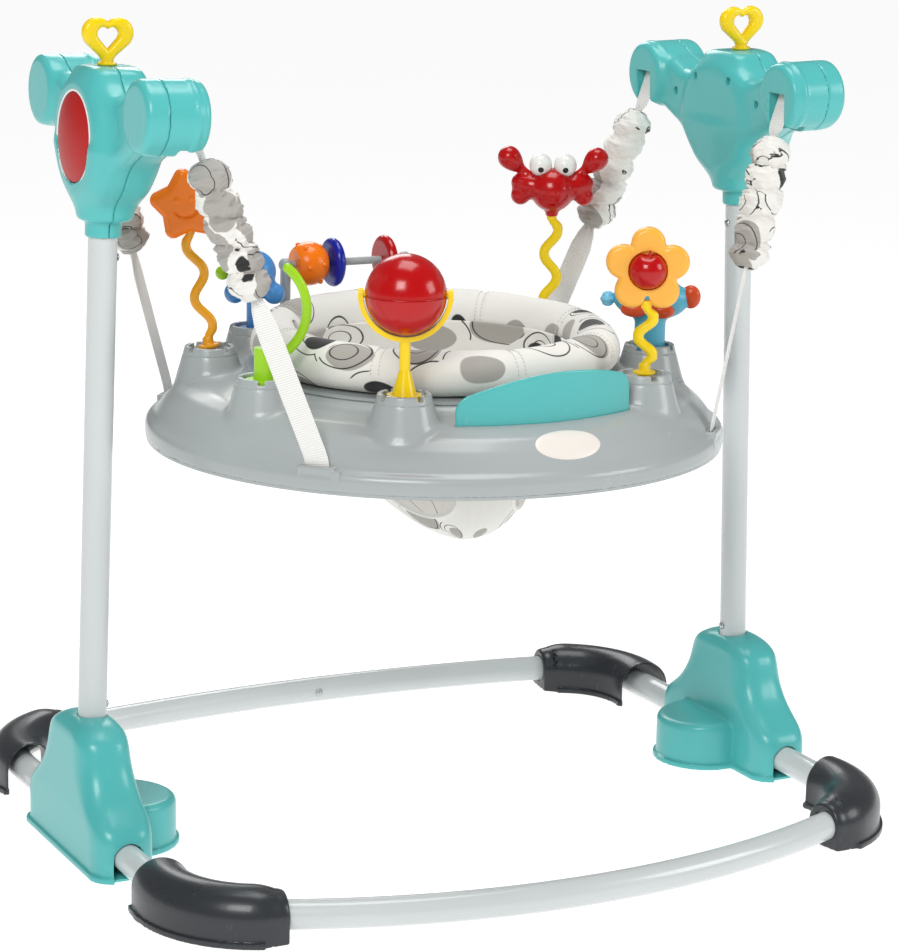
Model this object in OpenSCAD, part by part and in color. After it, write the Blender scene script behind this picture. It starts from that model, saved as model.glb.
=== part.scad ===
// Baby jumper: a floor ring with two uprights, and a round toy tray with a swivel seat that hangs
// on four sprung straps. Millimetres, +Z up, +X to the right, the front is -Y, and the origin is
// the middle of the footprint.

/* [Floor ring] */
// Outside diameter of the frame tubes
tube_d = 30; // [26:0.5:34]
// Wall of the frame tubes
tube_wall = 1.5; // [1:0.1:2.2]
// Height of the floor tubes' centre line
tube_z = 24; // [21:0.5:28]
// Half the distance between the uprights at the floor
tower_half = 400; // [380:2:430]
// Distance from the upright plane to the front tube
front_reach = 386; // [366:2:420]
// Distance from the upright plane to the rear tube
rear_reach = 348; // [338:2:400]
// Bend radius of the ring's corners
corner_r = 100; // [80:2:110]
// Distance from the upright plane to the centres of the corner bends
corner_y = 220; // [206:2:230]
// Half length of the side tube that carries an upright
side_half = 108; // [90:2:112]
// Length of the reduced end that plugs into the next tube
spigot_len = 36; // [26:1:44]
// Diameter of the cross screws' shanks
screw_d = 5; // [4:0.5:6]

/* [Feet] */
// Width of a corner foot
foot_w = 60; // [52:1:68]
// Angle of the ring's corner that a foot covers
foot_sweep = 68; // [50:1:72]
// Angle that a foot runs on past each end of its bend
foot_run = 13; // [6:1:16]
// Thickness of the foot's shell
foot_wall = 3; // [2:0.5:4]
// Height of the rim round a foot's bottom
rim_h = 6; // [4:0.5:9]
// How far the rims of the feet and leg bases stand out
rim_out = 3.5; // [2:0.5:6]

/* [Leg bases] */
// Height of a leg base
leg_h = 146; // [136:1:170]
// Half length of a leg base along the side tube
leg_half_len = 118; // [114:1:130]
// Half width of a leg base
leg_half_w = 33; // [28:1:40]
// How far the toe reaches inwards from the upright
toe_reach = 94; // [76:1:110]
// Height of the toe
toe_h = 54; // [46:1:64]
// Wall of the moulded shells
shell_wall = 2.5; // [2:0.1:3.5]

/* [Uprights] */
// Inward lean of the uprights in degrees
tower_lean = 1.8; // [0:0.1:3]
// Height of the joint between the leg stub and the upright
stub_top = 180; // [172:1:210]
// Height of the joint between the upright and the head stub
upright_top = 607; // [540:1:620]
// Height of the bottom of the head's collar
collar_z = 650; // [646:1:660]

/* [Heads] */
// Diameter of the head's collar
collar_d = 37; // [35:0.5:44]
// Diameter of the head's neck above the collar
neck_d = 58; // [54:1:64]
// Height of the middle of the round head
head_z = 751; // [745:1:757]
// Radius of the round head
head_r = 72; // [66:1:78]
// Depth of the head on the outer side of the upright
head_out = 34; // [30:1:40]
// Depth of the head on the seat's side of the upright
head_in = 38; // [34:1:42]
// Height of the head's flat top
head_top = 821; // [816:1:832]
// Diameter of the strap drums
drum_d = 72; // [64:1:80]
// Distance of the strap drums from the upright
drum_y = 140; // [132:1:156]
// Height of the strap drums' axes
drum_z = 786; // [778:1:792]
// Reach of a drum on the outer side of the upright
drum_out = 23; // [18:1:30]
// Reach of a drum on the seat's side of the upright
drum_in = 44; // [40:1:50]
// Diameter of the red push button
button_d = 90; // [70:1:92]
// Height of the push button's dome
button_dome = 8; // [4:0.5:12]
// Travel of the push button
button_travel = 4; // [2:0.5:5]
// Width of the heart loop
heart_w = 54; // [46:1:62]
// Thickness of the heart loop
heart_t = 13; // [9:0.5:16]

/* [Suspension] */
// Width of the webbing straps
strap_w = 26; // [20:1:28]
// Thickness of the webbing straps
strap_t = 1.6; // [1:0.1:2.2]
// Diameter of the pins that the straps loop round
anchor_d = 8; // [6:0.5:10]
// Middle diameter of the spring coils
spring_d = 20; // [17:0.5:20.5]
// Diameter of the spring wire
wire_d = 2; // [1.4:0.1:2.2]
// Turns in each spring
spring_turns = 12; // [8:1:14]
// Middle radius of the gathered sleeves
sleeve_r = 17.6; // [16.5:0.1:20]
// Height of the gathers in the sleeves
gather = 2.6; // [1:0.1:3]

/* [Tray] */
// Outer radius of the tray
tray_r = 313; // [306:1:330]
// Height of the tray's lower edge
tray_z = 417; // [410:1:424]
// Height of the tray's outer band
band_h = 19; // [14:1:22]
// Radius of the tray's seat opening
mouth_r = 197; // [195:0.5:200]
// Height of the lip round the seat opening
mouth_z = 488; // [484:1:490]
// Thickness of the tray's shell
tray_wall = 3; // [2:0.2:3.6]
// Radius of the circle that the toy hubs stand on
hub_r = 244; // [242:1:248]
// Height of the tops of the toy hubs
hub_z = 508; // [506:1:514]
// Radius of a toy hub at its top
hub_top_r = 27; // [24:0.5:29]
// Radius of a toy hub at its base
hub_base_r = 39; // [36:0.5:40]
// Radius of the toy pegs
peg_r = 8.2; // [6:0.1:9]
// Radius of the strap slots' circle on the rim
slot_r = 305; // [303:0.5:306]
// Angle of the strap slots from the sideways axis
slot_angle = 41; // [38:1:44]

/* [Seat] */
// Middle radius of the stuffed rim pad
pad_r = 174; // [172:0.5:176]
// Half thickness of the stuffed rim pad
pad_half = 26; // [20:0.5:27]
// Extra height of the pad at the seat's back
back_rise = 9; // [0:0.5:14]
// Height of the bottom of the fabric bucket
bucket_z = 316; // [300:1:340]
// Height of the bucket's curve
bucket_depth = 130; // [110:1:136]
// Radius of the leg holes
leg_hole_r = 50; // [40:1:54]

/* [Toys] */
// Turn of the toys that face the front left
toy_turn = -27; // [-40:1:-10]
// Radius of the rattle ball
rattle_r = 41; // [34:0.5:44]
// Height of the rattle ball above its hub
rattle_rise = 100; // [96:1:120]
// Radius of the round toy stems
stem_r = 4.2; // [3:0.1:5]
// Sideways sway of the wavy stems
stem_sway = 7.5; // [5:0.5:9]
// Reach of the star's points
star_r = 41; // [34:0.5:46]
// Lean of the star's stem at rest, in degrees
star_lean = 9; // [0:0.5:12]
// Radius of a flower petal
petal_r = 18; // [15:0.5:20]
// Radius of the apple in the flower
apple_r = 20; // [15:0.5:22]
// Radius of the play bar
bar_r = 4.5; // [3.5:0.1:6]
// Height of the play bar above the hubs
bar_rise = 62; // [56:1:76]
// Half the distance between the play bar's posts
bar_half = 75; // [72:1:82]
// Radius of the two discs on the play bar
disc_r = 28; // [20:0.5:30]
// Radius of the bumpy roller
roller_r = 25; // [18:0.5:28]

/* [Hidden] */
$fn = 48;
// Gap between pieces that move past each other
clear = 0.3;
// Radial gap of a pin that turns in a bore
run_fit = 0.08;
// Radial gap of a piece that is pushed in and stays
push_fit = 0.2;

// Places worked out from the sizes above
tower_y = (front_reach - rear_reach) / 2;
tube_bore = tube_d - 2 * tube_wall;
spigot_d = tube_bore - 2 * push_fit;
corner_x = tower_half - corner_r;
hub_floor = 3;
hub_recess = 6.5;
hub_seat = hub_z - hub_recess;
peg_hole_r = peg_r + run_fit;
dome_z = tray_z + 63;
ring_z = mouth_z + clear;
ring_t = 3;
pad_flat = 0.8;
pad_z = ring_z + ring_t + 0.4 + pad_flat * pad_half;
sleeve_bore = (spring_d + wire_d) / 2 + 0.8;

// Hub angles, counted from +X
STAR = 153;
FIGURE = 120;
CRAB = 31;
PLANE = -12;
FLOWER = -53;
BALL = -124;
ARCH = -163;
HUBS = [STAR, FIGURE, CRAB, PLANE, FLOWER, BALL, ARCH];
PANEL = -87.5;

TEAL = "#5bb8b4";
GREY = "#9fa6ab";
PALE = "#d5d9da";
DARK = "#3a3d42";
RED = "#c8171d";
YELLOW = "#f5d21a";
AMBER = "#f0a92a";
ORANGE = "#f47a14";
LIME = "#a8dd2c";
BLUE = "#4a90d0";
NAVY = "#1a2a9c";
CLOTH = "#eceae4";
STEEL = "#b8bcc0";

// Points on an arc about c, from angle a to angle b
function arc(c, r, a, b, n = 8) =
  [for (i = [0:n]) c + r * [cos(a + (b - a) * i / n), sin(a + (b - a) * i / n)]];
function flip_x(points) = [for (i = [len(points) - 1:-1:0]) [-points[i].x, points[i].y]];
function unit(v) = v / norm(v);
function mix(a, b, t) = a + (b - a) * t;

// Triangles of a closed loop of rings, each of n points, and of an open row of rings with capped ends
function loop_faces(rings, n) = [for (i = [0:rings - 1], j = [0:n - 1])
  let (a = i * n + j, b = i * n + (j + 1) % n, c = ((i + 1) % rings) * n + j,
    d = ((i + 1) % rings) * n + (j + 1) % n)
  each [[a, b, c], [b, d, c]]];
function row_faces(rings, n) = concat(
  [for (i = [0:rings - 2], j = [0:n - 1])
    let (a = i * n + j, b = i * n + (j + 1) % n) each [[a, b, a + n], [b, b + n, a + n]]],
  [for (j = [1:n - 2]) [0, j + 1, j]],
  [for (j = [1:n - 2]) let (k = (rings - 1) * n) [k, k + j, k + j + 1]]);
module skin(rings, closed = false) {
  n = len(rings[0]);
  polyhedron([for (r = rings) each r], closed ? loop_faces(len(rings), n) : row_faces(len(rings), n));
}

// Frames of reference: a left-hand leg or tower, mirrored for the right, and a spot on the tray
module leg(side) {
  translate([0, tower_y, 0]) mirror([side > 0 ? 1 : 0, 0, 0]) translate([-tower_half, 0, 0]) children();
}
module tower(side) {
  leg(side) translate([0, 0, tube_z]) rotate([0, tower_lean, 0]) translate([0, 0, -tube_z]) children();
}
module on_tray() {
  translate([0, tower_y, 0]) children();
}
module at_hub(angle, turn = 0) {
  on_tray() rotate(angle) translate([hub_r, 0, hub_z]) rotate(turn - angle) children();
}
function tower_point(p) = [p.x * cos(tower_lean) + (p.z - tube_z) * sin(tower_lean) - tower_half, p.y,
  tube_z - p.x * sin(tower_lean) + (p.z - tube_z) * cos(tower_lean)];

// Floor ring
function bow_r(reach) = let (h = reach - corner_y)
  (corner_x * corner_x + h * h - corner_r * corner_r) / (2 * (h - corner_r));
function bow_angle(reach) = asin(corner_x / (bow_r(reach) - corner_r));
module ring_section(outer, inner) {
  difference() {
    circle(d = outer);
    circle(d = inner);
  }
}
module bend(radius, from, to, outer = tube_d, inner = tube_bore) {
  rotate(from) rotate_extrude(angle = to - from) translate([radius, 0]) ring_section(outer, inner);
}
// A straight tube along +Z whose far end is reduced to plug into the next tube
plug_root = 6;
module plug_tube(length) {
  inner = spigot_d / 2 - tube_wall;
  rotate_extrude() polygon([[tube_bore / 2, 0], [tube_d / 2, 0], [tube_d / 2, length],
    [spigot_d / 2, length],
    [spigot_d / 2, length + spigot_len], [inner, length + spigot_len], [inner, length - plug_root],
    [tube_bore / 2, length - plug_root]]);
}
// A corner bend, slightly fuller than the lengths that it joins, and the side length that plugs into
// the side tube
bend_swell = 0.4;
bend_over = 1.2;
module corner_and_side(a) {
  translate([corner_x, -corner_y, 0]) {
    bend(corner_r, -90 + a - bend_over, bend_over, tube_d + bend_swell, tube_bore - bend_swell);
    translate([corner_r, 0, 0]) rotate([-90, 0, 0]) plug_tube(corner_y - side_half);
  }
}
module ring_frame() {
  translate([0, tower_y, tube_z]) children();
}
// A round-headed screw that points along -Z, with its head's seat at the origin
module cross_screw(length) {
  head_r = screw_d * 0.9;
  translate([0, 0, -length]) cylinder(d = screw_d, h = length);
  rotate_extrude() polygon(concat([[0, 0]], [for (i = [0:6]) head_r * [cos(15 * i), 0.65 * sin(15 * i)]]));
}
screw_grip = 12;
side_screw_y = side_half - spigot_len / 2;
rear_screw_x = spigot_len / 2;
module side_screw_sites() {
  for (side = [-1, 1], end = [-1, 1])
    translate([side * (tower_half - tube_d / 2), end * side_screw_y, 0]) rotate([0, -side * 90, 0])
      children();
}
module rear_screw_site() {
  r = bow_r(rear_reach);
  translate([rear_screw_x, rear_reach - r + sqrt(r * r - rear_screw_x * rear_screw_x) - tube_d / 2, 0])
    rotate([90, 0, 0]) children();
}
module screw_hole() {
  translate([0, 0, -screw_grip - 1]) cylinder(d = screw_d + push_fit, h = screw_grip + 3);
}
module front_tube() {
  r = bow_r(front_reach);
  a = bow_angle(front_reach);
  color(PALE) ring_frame() difference() {
    union() {
      translate([0, r - front_reach, 0]) bend(r, -90 - a, -90 + a);
      corner_and_side(a);
      mirror([1, 0, 0]) corner_and_side(a);
    }
    side_screw_sites() screw_hole();
  }
}
// The rear halves meet in the middle: the left one carries a plug, the right one receives it
module rear_half(plug) {
  r = bow_r(rear_reach);
  a = bow_angle(rear_reach);
  bore = spigot_d - 2 * tube_wall;
  root = atan(plug_root / r);
  translate([0, r - rear_reach, 0]) {
    bend(r, -90, -90 + a);
    if (plug) bend(r, -90 - atan(spigot_len / r), -90 + root, spigot_d, bore);
    if (plug) bend(r, -90 + root / 8, -90 + root * 7 / 8, tube_bore + tube_wall, bore + tube_wall);
  }
  corner_and_side(a);
}
module rear_tube(side) {
  color(PALE) ring_frame() difference() {
    mirror([0, 1, 0]) mirror([side < 0 ? 1 : 0, 0, 0]) rear_half(side < 0);
    side_screw_sites() screw_hole();
    rear_screw_site() screw_hole();
  }
}
module side_tube(side) {
  stub = stub_top - tube_z;
  color(PALE) difference() {
    union() {
      leg(side) translate([0, 0, tube_z]) rotate([90, 0, 0])
        cylinder(d = tube_d, h = 2 * side_half, center = true);
      tower(side) translate([0, 0, tube_z]) cylinder(d = tube_d, h = stub);
    }
    leg(side) translate([0, 0, tube_z]) rotate([90, 0, 0])
      cylinder(d = tube_bore, h = 3 * side_half, center = true);
    tower(side) translate([0, 0, tube_z]) cylinder(d = tube_bore, h = stub + 1);
    ring_frame() side_screw_sites() screw_hole();
    tower(side) tower_screw_sites() screw_hole();
  }
}
leg_screw_z = stub_top - spigot_len / 2 - 6;
head_screw_z = upright_top + spigot_len / 2 + 4;
module tower_screw_sites() {
  for (z = [leg_screw_z, head_screw_z]) translate([tube_d / 2, 0, z]) rotate([0, 90, 0]) children();
}
module frame_screws() {
  color(STEEL) {
    ring_frame() side_screw_sites() cross_screw(screw_grip);
    ring_frame() rear_screw_site() cross_screw(screw_grip);
    for (side = [-1, 1]) tower(side) tower_screw_sites() cross_screw(screw_grip);
  }
}

// Corner feet: a hood with an open bottom, swept round the bend, on two saddle ribs that hold the tube
function foot_outline() = let (out = foot_w / 2, inn = out - foot_wall, c = [0, tube_z])
  concat([[inn, 0], [out + rim_out, 0], [out + rim_out, rim_h], [out, rim_h]], arc(c, out, 0, 180, 16),
    [[-out, rim_h], [-out - rim_out, rim_h], [-out - rim_out, 0], [-inn, 0]], arc(c, inn, 180, 0, 16));
function saddle_outline(half) = let (r = (tube_d + bend_swell) / 2 + push_fit, low = asin(2 / r))
  concat([[-half, 1], [half, 1], [half, tube_z - 2]], arc([0, tube_z], r, -low, low - 180, 16),
    [[-half, tube_z - 2]]);
module foot(side, end) {
  rib_t = 3;
  color(DARK) translate([0, tower_y, 0]) mirror([side < 0 ? 1 : 0, 0, 0]) mirror([0, end < 0 ? 1 : 0, 0])
    translate([corner_x, corner_y, 0]) {
      rotate(-foot_run) rotate_extrude(angle = foot_sweep + 2 * foot_run) translate([corner_r, 0])
        polygon(foot_outline());
      for (a = [foot_sweep * 0.2, foot_sweep * 0.75]) rotate(a) translate([corner_r, 0, 0]) rotate([90, 0, 0])
        linear_extrude(rib_t, center = true) polygon(saddle_outline((foot_w - foot_wall) / 2));
    }
}

// Leg bases: a bell seen from the side, with rounded corners, and a low round toe towards the seat
function bell_half(inset) =
  let (length = leg_half_len - inset, lip_z = 40, lip_r = 20 - inset, flare_r = 85 + inset, steep = 10,
    c1 = [leg_half_len - 20, lip_z], p1 = c1 + lip_r * [cos(62), sin(62)],
    c2 = p1 + flare_r * [sin(28), cos(28)], p2 = c2 - flare_r * [cos(steep), sin(steep)],
    top_r = (leg_h - inset - p2.y) / (1 - sin(steep)), c3 = p2 - top_r * [cos(steep), sin(steep)])
  concat([[length, 0]], arc(c1, lip_r, 0, 62, 6), arc(c2, flare_r, 242, 180 + steep, 8),
    arc(c3, top_r, steep, 90, 6));
function leg_plan(inset) = let (w = leg_half_w - inset, l = leg_half_len - inset, r = 24 - inset)
  concat(arc([w - r, l - r], r, 0, 90), arc([r - w, l - r], r, 90, 180),
    arc([r - w, r - l], r, 180, 270), arc([w - r, r - l], r, 270, 360));
function leg_section(inset) = let (w = leg_half_w - inset, h = leg_h - inset, r = 18 - inset)
  concat([[w, 0], [w, 0.4 * h]], arc([w - 5 - r, h - r], r, 10, 90), arc([r - w, h - r], r, 90, 180),
    [[-w, 0]]);
toe_r = 54;
module toe_plan(inset) {
  intersection() {
    translate([toe_reach - toe_r, 0]) circle(r = toe_r - inset);
    translate([0, -toe_r]) square([toe_reach, 2 * toe_r]);
  }
}
module leg_form(inset) {
  outline = bell_half(inset);
  intersection() {
    rotate([90, 0, 90]) translate([0, 0, -leg_half_w]) linear_extrude(2 * leg_half_w)
      polygon(concat(outline, flip_x(outline)));
    rotate([90, 0, 0]) linear_extrude(2 * leg_half_len, center = true) polygon(leg_section(inset));
    linear_extrude(leg_h) polygon(leg_plan(inset));
  }
  linear_extrude(toe_h - inset) toe_plan(inset);
}
module leg_base(side) {
  gap = 1;
  color(TEAL) difference() {
    leg(side) difference() {
      union() {
        leg_form(0);
        linear_extrude(rim_h) polygon(leg_plan(-rim_out));
        linear_extrude(rim_h) toe_plan(-rim_out);
      }
      translate([0, 0, -0.5]) leg_form(shell_wall);
      translate([0, 0, tube_z]) rotate([90, 0, 0])
        cylinder(d = tube_d + 2 * gap, h = 3 * leg_half_len, center = true);
      translate([-tube_d / 2 - gap, -1.5 * leg_half_len, -1])
        cube([tube_d + 2 * gap, 3 * leg_half_len, tube_z + 1]);
    }
    tower(side) translate([0, 0, tube_z]) cylinder(d = tube_d + 2 * push_fit, h = stub_top);
  }
}
module leg_plates() {
  inset = shell_wall + 0.4;
  plate_z = 0.6;
  plate_t = 2.5;
  saddle = [26, 4, tube_z - plate_z];
  color(TEAL) for (side = [-1, 1]) leg(side) difference() {
    union() {
      translate([0, 0, plate_z]) linear_extrude(plate_t) {
        polygon(leg_plan(inset));
        toe_plan(inset);
      }
      for (y = [-60, 60]) translate([-saddle.x / 2, y - saddle.y / 2, plate_z]) cube(saddle);
    }
    translate([0, 0, tube_z]) rotate([90, 0, 0])
      cylinder(d = tube_d + 2 * push_fit, h = 3 * leg_half_len, center = true);
  }
}

// Uprights
module upright(side) {
  middle = (stub_top + upright_top) / 2;
  half = (upright_top - stub_top) / 2;
  color(PALE) tower(side) difference() {
    translate([0, 0, middle]) {
      plug_tube(half);
      mirror([0, 0, 1]) plug_tube(half);
    }
    tower_screw_sites() screw_hole();
  }
}
stub_end = collar_z + 38;
module head_stubs() {
  color(PALE) for (side = [-1, 1]) tower(side) difference() {
    translate([0, 0, upright_top]) cylinder(d = tube_d, h = stub_end - upright_top);
    translate([0, 0, upright_top - 1]) cylinder(d = tube_bore, h = stub_end);
    tower_screw_sites() screw_hole();
  }
}

// Heads, drawn for the left: -X is the outer side, +X is the seat's side
neck_z = collar_z + 17;
neck_h = 20;
face_r = button_d / 2 + 7;
function head_profile(inset) = let (r = head_r - inset, f = face_r - inset)
  concat([[0, -head_out + inset]],
    [for (i = [0:6]) let (a = 15 * i) [f + (r - f) * sin(a), -6 - (head_out - 6 - inset) * cos(a)]],
    [for (i = [0:6]) let (a = 15 * i) [f + (r - f) * cos(a), 14 + (head_in - 14 - inset) * sin(a)]],
    [[0, head_in - inset]]);
module side_slab(out, inn) {
  rotate([90, 0, 90]) translate([0, 0, -out]) linear_extrude(out + inn) children();
}
module head_form(inset) {
  r = drum_d / 2 - inset;
  low = neck_z + neck_h;
  translate([0, 0, head_z]) rotate([0, 90, 0]) rotate_extrude() polygon(head_profile(inset));
  translate([0, 0, neck_z + inset]) cylinder(d = neck_d - 2 * inset, h = neck_h + 2);
  side_slab(30 - inset, 33 - inset)
    polygon([[neck_d / 2 - inset, low - 1], [62 - inset, head_z - 26], [-62 + inset, head_z - 26],
    [-neck_d / 2 + inset, low - 1]]);
  side_slab(24 - inset, 28 - inset) polygon([[52 - inset, head_z + 24], [36 - inset, head_top - inset],
    [-36 + inset, head_top - inset], [-52 + inset, head_z + 24]]);
  for (s = [-1, 1]) {
    translate([-drum_out + inset, s * drum_y, drum_z]) rotate([0, 90, 0])
      cylinder(r = r, h = drum_out + drum_in - 2 * inset);
    side_slab(17 - inset, 34 - inset)
      polygon([[s * 44, head_z - 34 + inset], [s * (drum_y - 22), drum_z - drum_d / 2 + inset],
      [s * drum_y, drum_z - drum_d / 2 + inset], [s * drum_y, drum_z + drum_d / 2 - 4 - inset],
        [s * 96, drum_z + 20 - inset],
      [s * 58, drum_z + 8 - inset], [s * 44, drum_z + 8 - inset]]);
  }
}
boss_sites = [[-34, head_z + 42], [34, head_z + 42], [-84, drum_z - 14], [84, drum_z - 14]];
boss_r = 5;
head_screw_d = 4;
module boss_column(from, to, d) {
  for (p = boss_sites) translate([from, p.x, p.y]) rotate([0, 90, 0]) cylinder(d = d, h = to - from);
}
// Each strap window is a slot from the middle of a drum's inner face down through its lower wall
window_w = strap_w + 4;
module strap_windows() {
  for (s = [-1, 1]) translate([drum_in - 14, s * drum_y - window_w / 2, drum_z - drum_d])
    cube([20, window_w, drum_d + 4]);
}
anchor_x = drum_in - 20;
anchor_z = drum_z + 6;
module anchor_sites() {
  for (s = [-1, 1]) translate([anchor_x, s * drum_y, anchor_z]) rotate([90, 0, 0]) children();
}
// Two cheeks on the drum's inner end wall hold the ends of an anchor pin
cheek_t = 6;
module anchor_cheeks() {
  for (e = [-1, 1]) translate([-anchor_d, -anchor_d, e * (window_w + cheek_t) / 2 - cheek_t / 2])
    cube([drum_in - anchor_x + anchor_d, 2 * anchor_d, cheek_t]);
}
heart_peg_r = 6;
heart_x = 0;
heart_base = max(head_top, head_z + head_r);
module heart_socket() {
  translate([heart_x, 0, heart_base - 16]) cylinder(r = heart_peg_r + run_fit, h = 20);
}
module head_solid() {
  difference() {
    union() {
      difference() {
        head_form(0);
        head_form(shell_wall);
      }
      translate([0, 0, collar_z]) cylinder(d = collar_d, h = neck_z - collar_z + shell_wall);
      translate([0, 0, neck_z]) cylinder(d = tube_d + 2 * shell_wall, h = stub_end - neck_z + shell_wall);
      translate([heart_x, 0, heart_base - 16]) cylinder(r = heart_peg_r + 2.5, h = 15);
      intersection() {
        boss_column(-40, 40, 2 * boss_r);
        head_form(1);
      }
      intersection() {
        anchor_sites() anchor_cheeks();
        head_form(1);
      }
    }
    anchor_sites() cylinder(d = anchor_d + 2 * push_fit, h = anchor_l + 2 * push_fit, center = true);
    translate([0, 0, collar_z - 1]) cylinder(d = tube_d + 2 * push_fit, h = stub_end - collar_z + 1);
    translate([-head_out - 1, 0, head_z]) rotate([0, 90, 0])
      cylinder(r = button_d / 2 + 2 * clear, h = shell_wall + 2);
    strap_windows();
    heart_socket();
    boss_column(-10, 50, head_screw_d + push_fit);
    boss_column(14, 50, 2 * head_screw_d);
  }
}
anchor_l = window_w + 2 * cheek_t - 2;
module head_half(side, outer) {
  far = 400;
  color(TEAL) tower(side) intersection() {
    head_solid();
    translate([outer ? -far : 0, -far / 2, collar_z - 1]) cube([far, far, far]);
  }
}
module head_screws() {
  color(STEEL) for (side = [-1, 1]) tower(side) {
    boss_column(-9, 14, head_screw_d);
    boss_column(14, 17, 2 * head_screw_d - 1);
  }
}
module anchor_pins() {
  color(STEEL) for (side = [-1, 1]) tower(side) anchor_sites()
    cylinder(d = anchor_d, h = anchor_l, center = true);
}
// The tip of the music box's switch stands just behind the button's travel
switch_x = -head_out + shell_wall + clear + 3 + button_travel + 0.7;
module music_module() {
  box = [16, 44, 34];
  color(DARK) tower(-1) {
    translate([head_in - shell_wall - box.x, -box.y / 2, head_z - box.z / 2]) cube(box);
    translate([switch_x, 0, head_z]) rotate([0, 90, 0])
      cylinder(r = 6, h = head_in - shell_wall - box.x - switch_x + 1);
  }
}
// The push button is a dome with a hidden flange that keeps it in the shell
module button(side) {
  r = button_d / 2;
  curve = (r * r + button_dome * button_dome) / (2 * button_dome);
  half = asin(r / curve);
  flange_x = -head_out + shell_wall + clear;
  color(RED) tower(side) translate([0, 0, head_z]) rotate([0, -90, 0]) rotate_extrude()
    polygon(concat([[0, -flange_x - 3], [r + 3, -flange_x - 3], [r + 3, -flange_x], [r, -flange_x]],
      [for (i = [0:8]) let (a = half * (1 - i / 8))
        [curve * sin(a), head_out + button_dome - curve + curve * cos(a)]]));
}
// The heart is a loop in the plane across the stand, on a neck that turns in the head's top
function heart_half(w, drop) = let (lobe = w * 0.29, x = w / 2 - lobe,
    tangent = atan2(drop, x) + acos(lobe / norm([x, drop])) - 180)
  arc([x, 0], lobe, tangent, acos(-x / lobe), 16);
// A heart as one outline, with its point cut off square
function heart_outline(w, drop, cut) =
  let (right = heart_half(w, drop), left = flip_x(right), side = right[0])
  concat([[side.x * cut / (side.y + drop), cut - drop]], right, [for (i = [1:len(left) - 1]) left[i]],
    [[-side.x * cut / (side.y + drop), cut - drop]]);
module heart(side) {
  drop = heart_w * 0.56;
  neck = 6;
  color(YELLOW) tower(side) translate([heart_x, 0, heart_base]) {
    translate([0, 0, -12]) cylinder(r = heart_peg_r, h = 12 + neck);
    translate([0, 0, clear]) cylinder(r = heart_peg_r + 4, h = 3);
    translate([0, 0, neck + drop - 4]) rotate([90, 0, 0]) linear_extrude(heart_t, center = true)
      difference() {
      polygon(heart_outline(heart_w, drop, 2));
      translate([0, -1]) polygon(heart_outline(heart_w * 0.42, drop * 0.5, 1));
    }
  }
}

// Suspension, drawn for the front left: a strap from the anchor pin to the rim slot, through spring and
// sleeve
pin_point = tower_point([anchor_x, -drum_y, anchor_z]);
hang_top = tower_point([drum_in - 2, -drum_y, drum_z - drum_d / 2 + 8]);
slot_z = tray_z + band_h + 3;
hang_foot = [-slot_r * cos(slot_angle), -slot_r * sin(slot_angle), slot_z + 6];
strap_end_z = slot_z - 14;
along = unit(hang_foot - hang_top);
narrow = spring_d - wire_d - 5;
neck_r = narrow / 2 + 0.75;
across_top = [0, 1, 0];
across_foot = [-sin(slot_angle), cos(slot_angle), 0];
sleeve_from = 0.05;
sleeve_to = 0.48;
function hang(t) = mix(hang_top, hang_foot, t);
module suspended(side, end) {
  on_tray() mirror([side > 0 ? 1 : 0, 0, 0]) mirror([0, end > 0 ? 1 : 0, 0]) children();
}
// One rectangular ring of the strap: its middle, its run, the way its width lies, and its width
function band(p, run, wide, w) = let (u = unit(wide - run * (wide * run)), v = cross(run, u))
  [for (c = [[-1, -1], [1, -1], [1, 1], [-1, 1]]) p + u * c.x * w / 2 + v * c.y * strap_t / 2];
module strap(side, end) {
  loop_r = anchor_d / 2 + clear + strap_t / 2;
  start = pin_point + [loop_r, 0, 0];
  color("white") suspended(side, end) skin([
    band(start, [0, 0, -1], across_top, strap_w),
    band(mix(start, hang_top, 0.5), unit(hang_top - start), across_top, strap_w),
    band(hang_top, unit(along + [0, 0, -1]), across_top, strap_w),
    band(hang(sleeve_from - 0.01), along, across_top, narrow),
    band(hang((sleeve_from + sleeve_to) / 2), along, across_top + across_foot, narrow),
    band(hang(sleeve_to + 0.01), along, across_foot, narrow),
    band(hang(sleeve_to + 0.08), along, across_foot, strap_w),
    band(hang_foot, unit(along + [0, 0, -1]), across_foot, strap_w),
    band([hang_foot.x, hang_foot.y, strap_end_z], [0, 0, -1], across_foot, strap_w)]);
}
// A round ring of n points about a point of the hanging line, for the sleeves and springs
side_u = unit(cross(along, [0, 1, 0]));
side_v = cross(along, side_u);
function round_ring(p, r, n) =
  [for (j = [0:n - 1]) p + r * (side_u * cos(360 * j / n) + side_v * sin(360 * j / n))];
// The gathers: bulges that run round the sleeve on a slant, drawn in at both ends
function gathered(t, a) = let (pinch = sqrt(min(1, 9 * t, 9 * (1 - t))))
  mix(neck_r + 1.5, sleeve_r + gather * (sin(360 * 4.5 * t + 40 * sin(a)) + 0.35 * sin(3 * a + 900 * t)),
    pinch);
module sleeve(side, end) {
  rings = 22;
  sides = 12;
  outer = [for (i = [0:rings]) let (t = i / rings, p = hang(mix(sleeve_from, sleeve_to, t)))
    [for (j = [0:sides - 1]) let (a = 360 * j / sides)
      p + gathered(t, a) * (side_u * cos(a) + side_v * sin(a))]];
  color(CLOTH) suspended(side, end)
    skin(concat(outer, [for (q = [[1, neck_r], [0.96, sleeve_bore], [0.04, sleeve_bore], [0, neck_r]])
      round_ring(hang(mix(sleeve_from, sleeve_to, q.x)), q.y, sides)]), true);
}
coil_steps = 8;
coil_from = sleeve_from + 0.03;
coil_to = sleeve_to - 0.03;
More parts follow.
